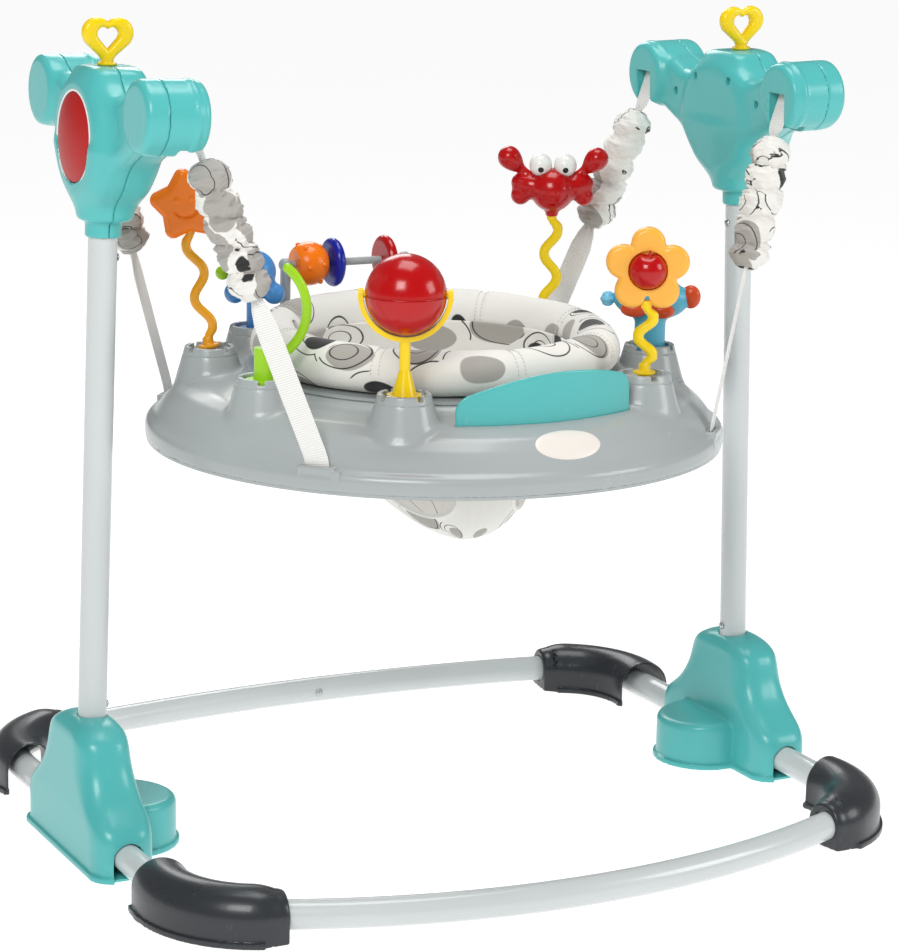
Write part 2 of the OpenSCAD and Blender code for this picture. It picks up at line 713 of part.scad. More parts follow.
function coil_point(k) = let (a = 360 * k / coil_steps)
  hang(mix(coil_from, coil_to, k / (coil_steps * spring_turns)))
    + spring_d / 2 * (side_u * cos(a) + side_v * sin(a));
coil = [for (k = [0:coil_steps * spring_turns]) coil_point(k)];
coil_gap = min([for (i = [0:len(coil) - 1], j = [i + coil_steps / 2:1:len(coil) - 1])
  norm(coil[i] - coil[j])]) - wire_d;
module suspension_springs() {
  sides = 6;
  last = len(coil) - 1;
  rings = [for (k = [0:last]) let (run = unit(coil[min(k + 1, last)] - coil[max(k - 1, 0)]),
      u = unit(cross(run, along)), v = cross(run, u))
    [for (j = [0:sides - 1]) coil[k] + wire_d / 2 * (u * cos(360 * j / sides) + v * sin(360 * j / sides))]];
  echo(least_gap_between_spring_turns = coil_gap);
  color(STEEL) for (side = [-1, 1], end = [-1, 1]) suspended(side, end) skin(rings);
}

// Tray: a domed shell of revolution with toy hubs, strap slots, a front panel, and a flat ring closing
// its bottom
function tray_outer(inset) = let (top = tray_z + band_h)
  [[tray_r - inset, tray_z], [tray_r - inset, top - 4 - inset], [tray_r - 4 - inset, top - inset],
    [tray_r - 10 - inset, top + 2 - inset], [tray_r - 13 - inset, top + 9 - inset],
      [tray_r - 22 - inset, top + 20 - inset],
    [tray_r - 36 - inset, top + 32 - inset], [tray_r - 56 - inset * 0.5, top + 40 - inset],
    [tray_r - 84, dome_z - inset], [mouth_r + 12, dome_z + 2 - inset],
      [mouth_r + 8 + inset * 0.4, mouth_z - inset],
    [mouth_r, mouth_z - inset], [mouth_r, tray_z]];
module hub_solid(grow, from) {
  translate([hub_r, 0, from]) cylinder(r1 = hub_base_r + grow, r2 = hub_top_r + grow, h = hub_z - from);
}
// The drop of the dome is deepest at a hub's outer side, so the cones start below it
hub_foot = dome_z - 14;
post_angle = asin(bar_half / hub_r);
post_seat = dome_z + 2;
tray_boss_r = tray_r - 38;
boss_angles = [for (i = [0:7]) 45 * i];
module slot_sites() {
  for (a = [slot_angle, 180 - slot_angle, 180 + slot_angle, -slot_angle]) rotate(a)
    translate([slot_r, 0, 0]) children();
}
panel_bottom_r = hub_r + 5;
panel_top_r = hub_r + 2;
panel_bottom_z = dome_z - 16;
panel_top_z = hub_z + 18;
panel_half = 24.5;
panel_t = 3;
panel_corner = 12;
panel_fall = 8.5;
panel_peak = 0.5;
module panel_strip(grow) {
  rotate(PANEL - panel_half - grow / 4) rotate_extrude(angle = 2 * panel_half + grow / 2) polygon([
    [panel_bottom_r - grow, panel_bottom_z], [panel_bottom_r + panel_t + grow, panel_bottom_z],
    [panel_top_r + panel_t + grow, panel_top_z], [panel_top_r - grow, panel_top_z]]);
}
module tray_top() {
  pocket = [9, strap_w + 6, 30];
  slot_gap = 0.5;
  color(GREY) on_tray() difference() {
    union() {
      difference() {
        rotate_extrude() polygon(tray_outer(0));
        difference() {
          rotate_extrude() polygon(tray_outer(tray_wall));
          translate([0, 0, tray_z - 1]) cylinder(r = mouth_r + tray_wall, h = mouth_z);
        }
      }
      for (a = HUBS) rotate(a) hub_solid(0, hub_foot);
      for (s = [-1, 1]) rotate(90 + s * post_angle) translate([hub_r, 0, hub_foot])
        cylinder(r = peg_r + 5, h = post_seat - hub_foot);
      for (a = boss_angles) rotate(a) translate([tray_boss_r, 0, tray_z])
        cylinder(r = 5, h = dome_z - tray_z - 14);
      slot_sites() translate([-8, -pocket.y / 2 - 3, slot_z - 16]) cube([14.5, pocket.y + 6, 18]);
    }
    for (a = HUBS) rotate(a) {
      difference() {
        hub_solid(-tray_wall, hub_foot - 1);
        translate([hub_r, 0, hub_seat - hub_floor]) cylinder(r = hub_base_r, h = hub_z);
      }
      translate([hub_r, 0, hub_seat]) cylinder(r = hub_top_r - 5, h = hub_z);
      translate([hub_r, 0, hub_seat - 2 * hub_floor]) cylinder(r = peg_hole_r, h = 4 * hub_floor);
    }
    for (s = [-1, 1]) rotate(90 + s * post_angle) translate([hub_r, 0, dome_z - 30])
      cylinder(r = peg_r + push_fit, h = 60);
    for (a = boss_angles) rotate(a) translate([tray_boss_r, 0, tray_z - 1]) cylinder(r = 2.2, h = 26);
    slot_sites() translate([-strap_t / 2 - slot_gap, -strap_w / 2 - slot_gap, slot_z - pocket.z])
      cube([strap_t + 2 * slot_gap, strap_w + 2 * slot_gap, 2 * pocket.z]);
    panel_strip(push_fit);
  }
}
bottom_t = 3;
module tray_bottom() {
  color(GREY) on_tray() difference() {
    translate([0, 0, tray_z - bottom_t]) cylinder(r = tray_r - 1, h = bottom_t);
    translate([0, 0, tray_z - bottom_t - 1]) cylinder(r = mouth_r, h = bottom_t + 2);
    for (a = boss_angles) rotate(a) translate([tray_boss_r, 0, tray_z - bottom_t - 1])
      cylinder(r = 2.2, h = bottom_t + 2);
  }
}
module tray_screws() {
  color(STEEL) on_tray() for (a = boss_angles) rotate(a) translate([tray_boss_r, 0, tray_z - bottom_t]) {
    cylinder(r = 2, h = 20);
    translate([0, 0, -2]) cylinder(r = 4, h = 2);
  }
}
// The panel's top edge falls towards its left end, seen from the front, between two round corners
function panel_edge(x, half_w) =
  let (past = max(0, abs(x) - half_w + panel_corner))
    panel_top_z - panel_fall * pow(x / half_w - panel_peak, 2)
      - panel_corner + sqrt(panel_corner * panel_corner - past * past);
module tray_panel() {
  half_w = panel_bottom_r * sin(panel_half);
  color(TEAL) on_tray() intersection() {
    panel_strip(0);
    rotate(PANEL + 90) translate([0, -panel_top_r / 2, 0]) rotate([90, 0, 0]) linear_extrude(panel_bottom_r)
      polygon(concat([[-half_w, panel_bottom_z], [half_w, panel_bottom_z]],
        [for (i = [0:24]) let (x = half_w * cos(7.5 * i)) [x, panel_edge(x, half_w)]]));
  }
}

// Seat: the ring turns in the tray's mouth, and the pad is sewn to its ledge
module seat_ring() {
  wall = 4;
  outer = mouth_r - 2;
  ledge = pad_r - pad_half / 2;
  color(GREY) on_tray() rotate_extrude()
    polygon([[outer - wall, mouth_z - 46], [outer, mouth_z - 46], [outer, ring_z],
    [mouth_r + 7, ring_z], [mouth_r + 7, ring_z + ring_t], [ledge, ring_z + ring_t], [ledge, ring_z],
      [outer - wall, ring_z]]);
}
// The stuffed pad: a crowned roll that is flatter below, drawn in at its sewn divisions, higher at the back
function pad_ring(a, n) = let (rise = back_rise * (1 + sin(a)) / 2, swell = 1 - 0.06 * pow(cos(4 * a), 16))
  [for (j = [0:n - 1]) let (b = 360 * j / n, h = sin(b) > 0 ? pad_half + rise : pad_half * pad_flat,
      r = pad_r + swell * pad_half * cos(b))
    [r * cos(a), r * sin(a), pad_z + swell * h * sin(b)]];
module seat_pad() {
  steps = 48;
  color(CLOTH) on_tray() skin([for (i = [0:steps - 1]) pad_ring(360 * i / steps, 16)], true);
}
function bucket_profile(inset) = let (r = pad_r - pad_half - 0.8 - inset)
  concat([[r, pad_z + 2]],
    [for (i = [10:-1:0]) let (q = i / 10) [r * q, bucket_z + inset + bucket_depth * pow(q, 1.6)]]);
module seat_bucket() {
  cloth_t = 3;
  inner = bucket_profile(cloth_t);
  color(CLOTH) on_tray() difference() {
    rotate_extrude() polygon(concat(bucket_profile(0), [for (i = [len(inner) - 1:-1:0]) inner[i]]));
    for (s = [-1, 1]) rotate(-90 + s * 48) translate([40, 0, bucket_z + leg_hole_r + 34]) rotate([0, 90, 0])
      cylinder(r = leg_hole_r, h = pad_r);
  }
}

// Toys. Each is drawn about its hub's axis with z counted from the hub's top
seat_drop = -hub_recess;
// A stack of half waves along +Z that swing from side to side, with the children as their section
bead = 0.25;
head_gap = 3;
stem_in = 9;
module wavy_rod(count, pitch, first) {
  wavy(count, pitch, first) circle(r = stem_r);
  for (i = [0:count]) translate([0, 0, i * pitch]) sphere(r = stem_r + bead);
  translate([0, 0, count * pitch]) cylinder(r = stem_r, h = head_gap + stem_in);
}
module stem_socket(top) {
  translate([0, 0, top]) cylinder(r = stem_r + bead + push_fit, h = head_gap + stem_in + push_fit);
}
module wavy(count, pitch, first) {
  r = (pitch * pitch / 4 + stem_sway * stem_sway) / (2 * stem_sway);
  half = asin(pitch / 2 / r);
  for (i = [0:count - 1]) let (s = first * (i % 2 == 0 ? 1 : -1)) translate([0, 0, (i + 0.5) * pitch])
    rotate([90, 0, 0]) translate([s * (stem_sway - r), 0, 0]) rotate(s > 0 ? -half : 180 - half)
      rotate_extrude(angle = 2 * half) translate([r, 0]) children();
}
// The foot of a swaying stem: a ball held in the hub's hole, under a small collar
ball_z = seat_drop - hub_floor / 2;
stem_foot = 8;
module sway_foot() {
  translate([0, 0, ball_z]) sphere(r = peg_r - 0.2);
  translate([0, 0, ball_z]) cylinder(r = stem_r + 1, h = stem_foot - ball_z);
  translate([0, 0, seat_drop + 5]) cylinder(r = 12, h = 3);
}
// The foot of a turning toy: a peg in the hub's hole, under a flange just clear of the hub's floor
module turn_foot(r, h) {
  translate([0, 0, seat_drop - 12]) cylinder(r = peg_r, h = 14);
  translate([0, 0, seat_drop + clear]) cylinder(r = hub_top_r - 8, h = 3);
  translate([0, 0, seat_drop + 3]) cylinder(r = r, h = h - seat_drop - 3);
}
star_pitch = 29;
star_waves = 4;
star_top = stem_foot + star_waves * star_pitch;
star_lift = 4;
star_z = star_top + head_gap + star_lift + star_r * 0.56;
module lean_star() {
  at_hub(STAR, toy_turn) translate([0, 0, ball_z]) rotate([0, -star_lean, 0])
    translate([0, 0, -ball_z]) children();
}
module star_stem() {
  color(AMBER) lean_star() {
    sway_foot();
    translate([0, 0, stem_foot]) wavy_rod(star_waves, star_pitch, 1);
  }
}
module star_head() {
  star_t = 20;
  color(ORANGE) lean_star() difference() {
    translate([0, 0, star_z]) rotate([90, 0, 0]) linear_extrude(star_t, center = true)
      polygon([for (i = [0:59]) let (a = 6 * i, r = star_r * (0.78 + 0.22 * cos(5 * (a - 90))))
        r * [cos(a), sin(a)]]);
    stem_socket(star_top);
  }
}
crab_pitch = 27;
crab_waves = 4;
crab_top = stem_foot + crab_waves * crab_pitch;
crab_neck = 30;
crab_z = crab_top + head_gap + crab_neck;
module crab_stem() {
  color(YELLOW) at_hub(CRAB, toy_turn) {
    sway_foot();
    translate([0, 0, stem_foot]) wavy_rod(crab_waves, crab_pitch, -1);
  }
}
eye_r = 13;
eye_x = 14;
eye_z = 28;
module crab_body() {
  claw = [50, 36];
  color(RED) at_hub(CRAB, toy_turn) translate([0, 0, crab_z]) difference() {
    union() {
      sphere(r = 25);
      translate([0, 0, -crab_neck]) cylinder(r = 7, h = 12);
      for (s = [-1, 1]) {
        translate([s * 24, 0, 4]) sphere(r = 14);
        translate([s * 36, 2, 7]) sphere(r = 11);
        translate([s * 36, 2, -7]) sphere(r = 11);
        translate([s * 22, 0, 12]) rotate([0, s * atan2(claw.x - 22, claw.y - 12), 0])
          cylinder(r = 4.5, h = norm([claw.x - 22, claw.y - 12]));
        translate([s * claw.x, 0, claw.y]) sphere(r = 13);
      }
    }
    for (s = [-1, 1]) translate([s * eye_x, -2, eye_z]) sphere(r = eye_r + push_fit);
    stem_socket(crab_top - crab_z);
  }
}
module crab_eyes() {
  color("white") at_hub(CRAB, toy_turn) translate([0, 0, crab_z]) for (s = [-1, 1])
    translate([s * eye_x, -2, eye_z]) sphere(r = eye_r);
}
flower_pitch = 20;
flower_waves = 3;
flower_top = stem_foot + flower_waves * flower_pitch;
flower_gap = 10;
flower_z = flower_top + flower_gap + petal_r * 1.68;
ribbon = [5.5, 12];
tab_h = flower_gap + 7;
module flower_stem() {
  color(YELLOW) at_hub(FLOWER, toy_turn) {
    sway_foot();
    translate([-ribbon.x / 2, -ribbon.y / 2, flower_top - 1]) cube([ribbon.x, ribbon.y, tab_h + 1]);
    translate([0, 0, stem_foot]) wavy(flower_waves, flower_pitch, 1) square(ribbon, center = true);
  }
}
petal_t = 16;
petal_ring = petal_r * 1.5;
apple_seat = 4;
module flower_head() {
  color("#f7b84a") at_hub(FLOWER, toy_turn) difference() {
    translate([0, 0, flower_z]) rotate([90, 0, 0]) linear_extrude(petal_t, center = true) {
      circle(r = petal_ring);
      for (i = [0:4]) rotate(90 + 72 * i) translate([petal_ring, 0]) circle(r = petal_r);
    }
    translate([0, -petal_t / 2 + apple_seat, flower_z]) rotate([90, 0, 0])
      cylinder(r = apple_r + push_fit, h = petal_t);
    translate([-ribbon.x / 2 - push_fit, -ribbon.y / 2 - push_fit, flower_top])
      cube([ribbon.x + 2 * push_fit, ribbon.y + 2 * push_fit, tab_h + push_fit]);
  }
}
module flower_center() {
  color(RED) at_hub(FLOWER, toy_turn) translate([0, -petal_t / 2 + apple_seat, flower_z]) rotate([90, 0, 0])
    intersection() {
      sphere(r = apple_r);
      cylinder(r = apple_r, h = apple_r);
    }
}
// Rattle ball: it spins between the ends of a fork
fork_gap = 1.5;
fork_t = 5;
fork_w = 12;
fork_pin_r = 4;
module rattle_fork() {
  inner = rattle_r + fork_gap;
  color(YELLOW) at_hub(BALL, toy_turn) {
    translate([0, 0, seat_drop - 12]) cylinder(r = peg_r - 0.1, h = 14);
    translate([0, 0, seat_drop]) cylinder(r = hub_top_r - 9, h = 5);
    translate([0, 0, seat_drop + 4]) cylinder(r1 = 13, r2 = 5.5, h = 26);
    translate([0, 0, seat_drop + 4]) cylinder(r = 5.5, h = rattle_rise - inner - seat_drop - 4);
    translate([0, 0, rattle_rise]) rotate([90, 0, 0]) {
      rotate(180) rotate_extrude(angle = 180) translate([inner, -fork_w / 2]) square([fork_t, fork_w]);
      for (s = [-1, 1]) translate([s * (inner + fork_t / 2), 0, 0]) rotate([0, 90, 0])
        cylinder(d = fork_w, h = fork_t, center = true);
      for (s = [0, 180]) rotate(s) translate([rattle_r - 8, 0, 0]) rotate([0, 90, 0])
        cylinder(r = fork_pin_r, h = fork_gap + 10);
    }
  }
}
module rattle_ball() {
  groove = 1.2;
  color(RED) at_hub(BALL, toy_turn) translate([0, 0, rattle_rise]) difference() {
    sphere(r = rattle_r);
    rotate_extrude() translate([rattle_r, 0]) circle(r = groove);
    for (s = [0, 180]) rotate([0, 0, s]) translate([rattle_r - 9, 0, 0]) rotate([0, 90, 0])
      cylinder(r = fork_pin_r + run_fit, h = 20);
  }
}
// Play arch: a hooked bow on a turning post
arch_tube_r = 5;
module play_arch() {
  bow = 56;
  half = 50;
  base = [24, 27];
  color(LIME) at_hub(ARCH, toy_turn) {
    turn_foot(10, 30);
    translate([0, 0, base.y]) rotate([0, 90, 0]) cylinder(r = arch_tube_r, h = base.x);
    translate([base.x, 0, base.y]) sphere(r = arch_tube_r);
    translate([base.x - bow * cos(half), 0, base.y + bow * sin(half)]) rotate([90, 0, 0]) rotate(-half)
      rotate_extrude(angle = 2 * half) translate([bow, 0]) circle(r = arch_tube_r);
    translate([base.x, 0, base.y + 2 * bow * sin(half)]) sphere(r = arch_tube_r);
  }
}
module blue_figure() {
  head = 60;
  color(BLUE) at_hub(FIGURE, toy_turn) {
    turn_foot(9, 40);
    translate([0, 0, head]) sphere(r = 24);
    for (s = [-1, 1]) translate([s * 22, -2, head - 24]) sphere(r = 12);
    translate([-36, 0, head - 2]) sphere(r = 8);
    translate([-30, 0, head - 2]) rotate([0, 90, 0]) cylinder(r = 4, h = 12);
  }
}
// Play bar between two posts at the rear, with a bumpy roller and two discs that slide on it
bar_y = hub_r * cos(post_angle);
module at_bar() {
  on_tray() translate([0, bar_y, hub_z + bar_rise]) rotate([0, 90, 0]) children();
}
post_foot = dome_z - 18;
module play_bar() {
  post_r = 6;
  color(GREY) {
    at_bar() cylinder(r = bar_r, h = 2 * bar_half, center = true);
    on_tray() for (s = [-1, 1]) translate([s * bar_half, bar_y, 0]) {
      translate([0, 0, post_foot]) cylinder(r = peg_r, h = post_seat - post_foot + 1);
      translate([0, 0, post_seat]) cylinder(r = peg_r + 4, h = 4);
      translate([0, 0, post_seat + 1]) cylinder(r = post_r, h = hub_z + bar_rise - post_seat - 1);
      translate([0, 0, hub_z + bar_rise]) sphere(r = post_r + 2);
    }
  }
}
roller_s = -46;
roller_half = 18;
module bumpy_roller() {
  color(ORANGE) at_bar() translate([0, 0, roller_s]) difference() {
    union() {
      intersection() {
        sphere(r = roller_r);
        cylinder(r = roller_r, h = 2 * roller_half, center = true);
      }
      for (i = [0:5], z = [-9, 9]) rotate(60 * i + 3 * z)
        translate([sqrt(roller_r * roller_r - z * z) - 0.5, 0, z]) sphere(r = 3);
    }
    cylinder(r = bar_r + run_fit, h = 4 * roller_half, center = true);
  }
}
disc_half = 6;
blue_disc_s = -16;
red_disc_s = 50;
module play_disc(s) {
  at_bar() translate([0, 0, s]) difference() {
    rotate_extrude() polygon(concat([[0, -disc_half]], arc([disc_r - disc_half, 0], disc_half, -90, 90),
      [[0, disc_half]]));
    cylinder(r = bar_r + run_fit, h = 4 * disc_half, center = true);
  }
}
module blue_disc() {
  color(NAVY) play_disc(blue_disc_s);
}
module red_disc() {
  color(RED) play_disc(red_disc_s);
}
module toy_plane() {
  middle = 50;
  body = [42, 24];
  color("#5aaec4") at_hub(PLANE, toy_turn - 13) {
    turn_foot(17, 34);
    translate([0, 0, middle]) rotate([0, 90, 0]) rotate_extrude()
      polygon([for (i = [0:12]) let (a = 15 * i - 90) [body.y * cos(a), body.x * sin(a)]]);
    translate([-body.x - 6, 0, middle - 3]) sphere(r = 8);
    translate([body.x, 0, middle + 4]) rotate([90, 0, 0]) cylinder(r = 10, h = 8, center = true);
    translate([0, 0, middle - 6]) rotate([0, 90, 0]) linear_extrude(50, center = true)
      square([12, 66], center = true);
  }
}

front_tube();
rear_tube(-1);  // rear_tube_left
rear_tube(1);  // rear_tube_right
side_tube(-1);  // side_tube_left
side_tube(1);  // side_tube_right
foot(-1, -1);  // foot_front_left
foot(1, -1);  // foot_front_right
foot(-1, 1);  // foot_rear_left
foot(1, 1);  // foot_rear_right
leg_base(-1);  // leg_base_left
leg_base(1);  // leg_base_right
leg_plates();
upright(-1);  // upright_left
upright(1);  // upright_right
head_stubs();
frame_screws();
head_half(-1, true);  // head_outer_left
head_half(1, true);  // head_outer_right
head_half(-1, false);  // head_inner_left
head_half(1, false);  // head_inner_right
head_screws();
anchor_pins();
music_module();
button(-1);  // button_left
button(1);  // button_right
heart(-1);  // heart_left
heart(1);  // heart_right
strap(-1, -1);  // strap_front_left
strap(1, -1);  // strap_front_right
strap(-1, 1);  // strap_rear_left
strap(1, 1);  // strap_rear_right
sleeve(-1, -1);  // sleeve_front_left
sleeve(1, -1);  // sleeve_front_right
sleeve(-1, 1);  // sleeve_rear_left
sleeve(1, 1);  // sleeve_rear_right
suspension_springs();
tray_top();
tray_bottom();
tray_panel();
tray_screws();
seat_ring();
seat_pad();
seat_bucket();
star_head();
star_stem();
crab_body();
crab_eyes();
crab_stem();
flower_head();
flower_center();
flower_stem();
rattle_fork();
rattle_ball();
play_arch();
blue_figure();
play_bar();
bumpy_roller();
blue_disc();
red_disc();
toy_plane();
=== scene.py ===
# %% [markdown]
# # A baby jumper, dressed for its picture
# The solids of the part are already packed: tubes, shells, tray, seat and toys, each on the body
# that moves it. This lesson loads them as a fixed frame and then gives every visible piece its soft
# edges, its cloth and its finish.

# %% Load the frame
import math
import bpy
import numpy as np
from mathutils import Matrix, Vector


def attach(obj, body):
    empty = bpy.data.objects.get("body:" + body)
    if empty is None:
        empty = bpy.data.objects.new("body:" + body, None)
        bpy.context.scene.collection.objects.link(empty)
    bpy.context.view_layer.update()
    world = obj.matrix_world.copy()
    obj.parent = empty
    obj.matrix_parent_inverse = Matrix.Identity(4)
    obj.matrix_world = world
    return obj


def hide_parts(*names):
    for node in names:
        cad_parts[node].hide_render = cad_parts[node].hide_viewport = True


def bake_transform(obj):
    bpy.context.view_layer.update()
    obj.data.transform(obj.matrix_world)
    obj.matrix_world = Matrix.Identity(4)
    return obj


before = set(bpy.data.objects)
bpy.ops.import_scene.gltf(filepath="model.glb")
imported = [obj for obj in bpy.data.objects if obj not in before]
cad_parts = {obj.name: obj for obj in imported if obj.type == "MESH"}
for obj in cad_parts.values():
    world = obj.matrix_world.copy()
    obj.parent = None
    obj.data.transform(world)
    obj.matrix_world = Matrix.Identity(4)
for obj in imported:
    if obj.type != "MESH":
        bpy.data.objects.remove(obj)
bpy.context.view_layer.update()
MM = 0.001

# %% [markdown]
# ## Camera
# The picture is taken from the front left, a little above the tray, with a long lens. A camera can
# be aimed with a Track To constraint, but its three axes are known here, so they are written
# straight into its matrix: to the right, up, and backwards.

# %% Camera
AIM, DISTANCE, LENS = Vector((0.0195, 0.019, 0.3657)), 3.2555, 112.33
yaw, pitch, roll = (math.radians(a) for a in (27.16, -12.94, 1.11))
ahead = Vector((math.sin(yaw) * math.cos(pitch), math.cos(yaw) * math.cos(pitch), math.sin(pitch)))
level = Vector((math.cos(yaw), -math.sin(yaw), 0))
above = level.cross(ahead)
right_way = level * math.cos(roll) + above * math.sin(roll)
up_way = above * math.cos(roll) - level * math.sin(roll)
camera = bpy.data.objects.new("camera", bpy.data.cameras.new("camera"))
camera.data.lens = LENS
camera.data.sensor_width = 36
camera.matrix_world = (Matrix.Translation(AIM - ahead * DISTANCE)
                       @ Matrix((right_way, up_way, -ahead)).transposed().to_4x4())
bpy.context.scene.collection.objects.link(camera)
bpy.context.scene.camera = camera
print("camera at", [round(v, 3) for v in camera.matrix_world.translation])

# %% [markdown]
# ## Sums of sockets
# A finish is a small graph of nodes. Wiring Math nodes one by one is long, so a socket is wrapped
# in a class whose operators add the Math node for you, and one method adds any other node: its
# type, its settings, then its sockets. The same two classes serve the geometry trees further down,
# because both kinds of tree know the Math node.

# %% Sums of sockets
class Wire:
    """An output socket that takes part in sums."""

    def __init__(self, graph, socket):
        self.graph, self.socket = graph, socket

    def sum(self, operation, first, second=None):
        values = {0: first} if second is None else {0: first, 1: second}
        return self.graph.node("ShaderNodeMath", {"operation": operation}, values)

    def __add__(self, other): return self.sum("ADD", self, other)
    def __radd__(self, other): return self.sum("ADD", other, self)
    def __sub__(self, other): return self.sum("SUBTRACT", self, other)
    def __rsub__(self, other): return self.sum("SUBTRACT", other, self)
    def __mul__(self, other): return self.sum("MULTIPLY", self, other)
    def __rmul__(self, other): return self.sum("MULTIPLY", other, self)
    def __truediv__(self, other): return self.sum("DIVIDE", self, other)
    def __pow__(self, other): return self.sum("POWER", self, other)
    def __lt__(self, other): return self.sum("LESS_THAN", self, other)
    def __gt__(self, other): return self.sum("GREATER_THAN", self, other)
    def __abs__(self): return self.sum("ABSOLUTE", self)
    def sine(self): return self.sum("SINE", self)
    def least(self, other): return self.sum("MINIMUM", self, other)
    def most(self, other): return self.sum("MAXIMUM", self, other)


class Graph:
    """A node tree, with one method for every node."""

    def __init__(self, tree):
        self.tree = tree

    def socket(self, sockets, key):
        if isinstance(key, int):
            return sockets[key]
        return next(s for s in sockets if key in (s.identifier, s.name))

    def node(self, kind, settings=None, sockets=None, out=0):
        made = self.tree.nodes.new(kind)
        for name, value in (settings or {}).items():
            setattr(made, name, value)
        for key, value in (sockets or {}).items():
            target = self.socket(made.inputs, key)
            if isinstance(value, Wire):
                self.tree.links.new(value.socket, target)
            else:
                target.default_value = value
        return Wire(self, self.socket(made.outputs, out)) if len(made.outputs) else made

    def steps(self, value, low, high):
        """0 below low, 1 above high, and smooth between."""
        return self.node("ShaderNodeMapRange", {"interpolation_type": "SMOOTHSTEP"},
                         {"Value": value, "From Min": low, "From Max": high})


# %% [markdown]
# ## Finishes
# A finish is a node tree that starts with a Principled shader and the object's own coordinates.
# Image textures could paint it too, but noise in the object's space needs no layout and is as fine
# close up as from afar. Colours are written as on a screen and turned into light.

# %% Finishes
class Finish(Graph):
    """A material with one Principled shader, painted in Object coordinates."""

    def __init__(self, name, **constants):
        self.material = bpy.data.materials.new(name)
        self.material.use_nodes = True
        super().__init__(self.material.node_tree)
        self.shader = next(n for n in self.tree.nodes if n.type == "BSDF_PRINCIPLED")
        for key, value in constants.items():
            self.shader.inputs[key.replace("_", " ")].default_value = value
        self.place = self.node("ShaderNodeTexCoord", out="Object")

    def feed(self, key, wire):
        self.tree.links.new(wire.socket, self.shader.inputs[key])

    def mix(self, share, first, second):
        return self.node("ShaderNodeMix", {"data_type": "RGBA"},
                         {"Factor_Float": share, "A_Color": first, "B_Color": second}, "Result_Color")

    def stretched(self, scale, turn=(0, 0, 0)):
        return self.node("ShaderNodeMapping", None,
                         {"Vector": self.place, "Scale": scale, "Rotation": turn})

    def noise(self, scale, detail=2.0, where=None, rough=0.5):
        return self.node("ShaderNodeTexNoise", None, {"Vector": where or self.place, "Scale": scale,
                                                      "Detail": detail, "Roughness": rough})

    def bump(self, height, strength, depth):
        self.feed("Normal", self.node("ShaderNodeBump", None,
                                      {"Height": height, "Strength": strength, "Distance": depth}))


def ink(code, lift=1.0):
    """A screen colour as the linear colour that a shader takes."""
    parts = [int(code[i:i + 2], 16) / 255 for i in (1, 3, 5)]
    return tuple(lift * (c / 12.92 if c <= 0.04045 else ((c + 0.055) / 1.055) ** 2.4)
                 for c in parts) + (1.0,)


print("mid grey gives back", round(ink("#808080")[0], 3), "of the light")

# %% [markdown]
# ## Moulded plastic
# Most of the stand and all of the toys are injection moulded. Such a surface is smooth but never
# quite even: the colour drifts a little, the tool leaves a fine grain, and handling leaves short
# pale scuffs that dull the gloss. One function paints them all, from a colour, a gloss and how much
# wear the piece has seen.

# %% Moulded plastic
def moulded(name, code, gloss=0.26, wear=0.3, grain=0.12, coat=0.12):
    f = Finish(name, Coat_Weight=coat, Coat_Roughness=0.08, IOR=1.42)
    drift = f.noise(7.0, 3.0)
    speck = f.noise(420.0, 2.0)
    strokes = f.noise(34.0, 6.0, f.stretched((1.0, 2.6, 1.0), (0.3, 0.5, 0.8)), 0.68)
    rubbed = f.steps(strokes, 0.62, 0.74) * wear
    colour = f.mix(drift, ink(code, 0.93), ink(code, 1.06))
    colour = f.mix(rubbed * 0.16, colour, (0.86, 0.86, 0.85, 1))
    f.feed("Base Color", f.mix(f.steps(speck, 0.66, 0.8) * 0.10, colour, ink(code, 0.6)))
    f.feed("Roughness", gloss + 0.10 * drift + 0.22 * rubbed)
    f.bump(f.noise(900.0, 3.0) * 0.7 + f.noise(26.0, 2.0) * 0.3, grain, 0.0006)
    return f.material


teal = moulded("teal_plastic", "#55bab8", 0.24)
tray_grey = moulded("grey_plastic", "#a9afaf", 0.2, 0.2)
foot_dark = moulded("foot_plastic", "#33363a", 0.24, 0.5, 0.22)
red = moulded("red_plastic", "#b8080c", 0.16, 0.1)
button_red = moulded("button_plastic", "#b4100d", 0.4, 0.15, coat=0.0)
yellow = moulded("yellow_plastic", "#f6d30c", 0.22, 0.15)
orange = moulded("orange_plastic", "#ff7d06", 0.2, 0.1)
amber = moulded("amber_plastic", "#f5a81c", 0.24, 0.1)
lime = moulded("lime_plastic", "#a4dc20", 0.24, 0.15)
blue = moulded("blue_plastic", "#4a92d6", 0.24, 0.1)
navy = moulded("navy_plastic", "#101f9e", 0.2)
petal = moulded("petal_plastic", "#fbb545", 0.24, 0.1)
sky = moulded("sky_plastic", "#79c4e4", 0.2)
plane_blue = moulded("plane_plastic", "#4fa8c2", 0.28)
wing_orange = moulded("wing_plastic", "#cc4714", 0.28)
cream = moulded("badge_plastic", "#ebe4dc", 0.3, 0.2)
white = moulded("white_plastic", "#eeeeea", 0.22, 0.4)
black = moulded("pupil_plastic", "#141416", 0.2, 0.3)
print("plastics", len([m for m in bpy.data.materials if m.name.endswith("plastic")]))

# %% [markdown]
# ## Painted tube and bright steel
# The floor ring and the uprights are steel tube with a baked off-white powder paint, which dries to
# a slight orange peel. Screws, pins and springs are bright zinc, brushed by their making, so their
# roughness runs in fine streaks.

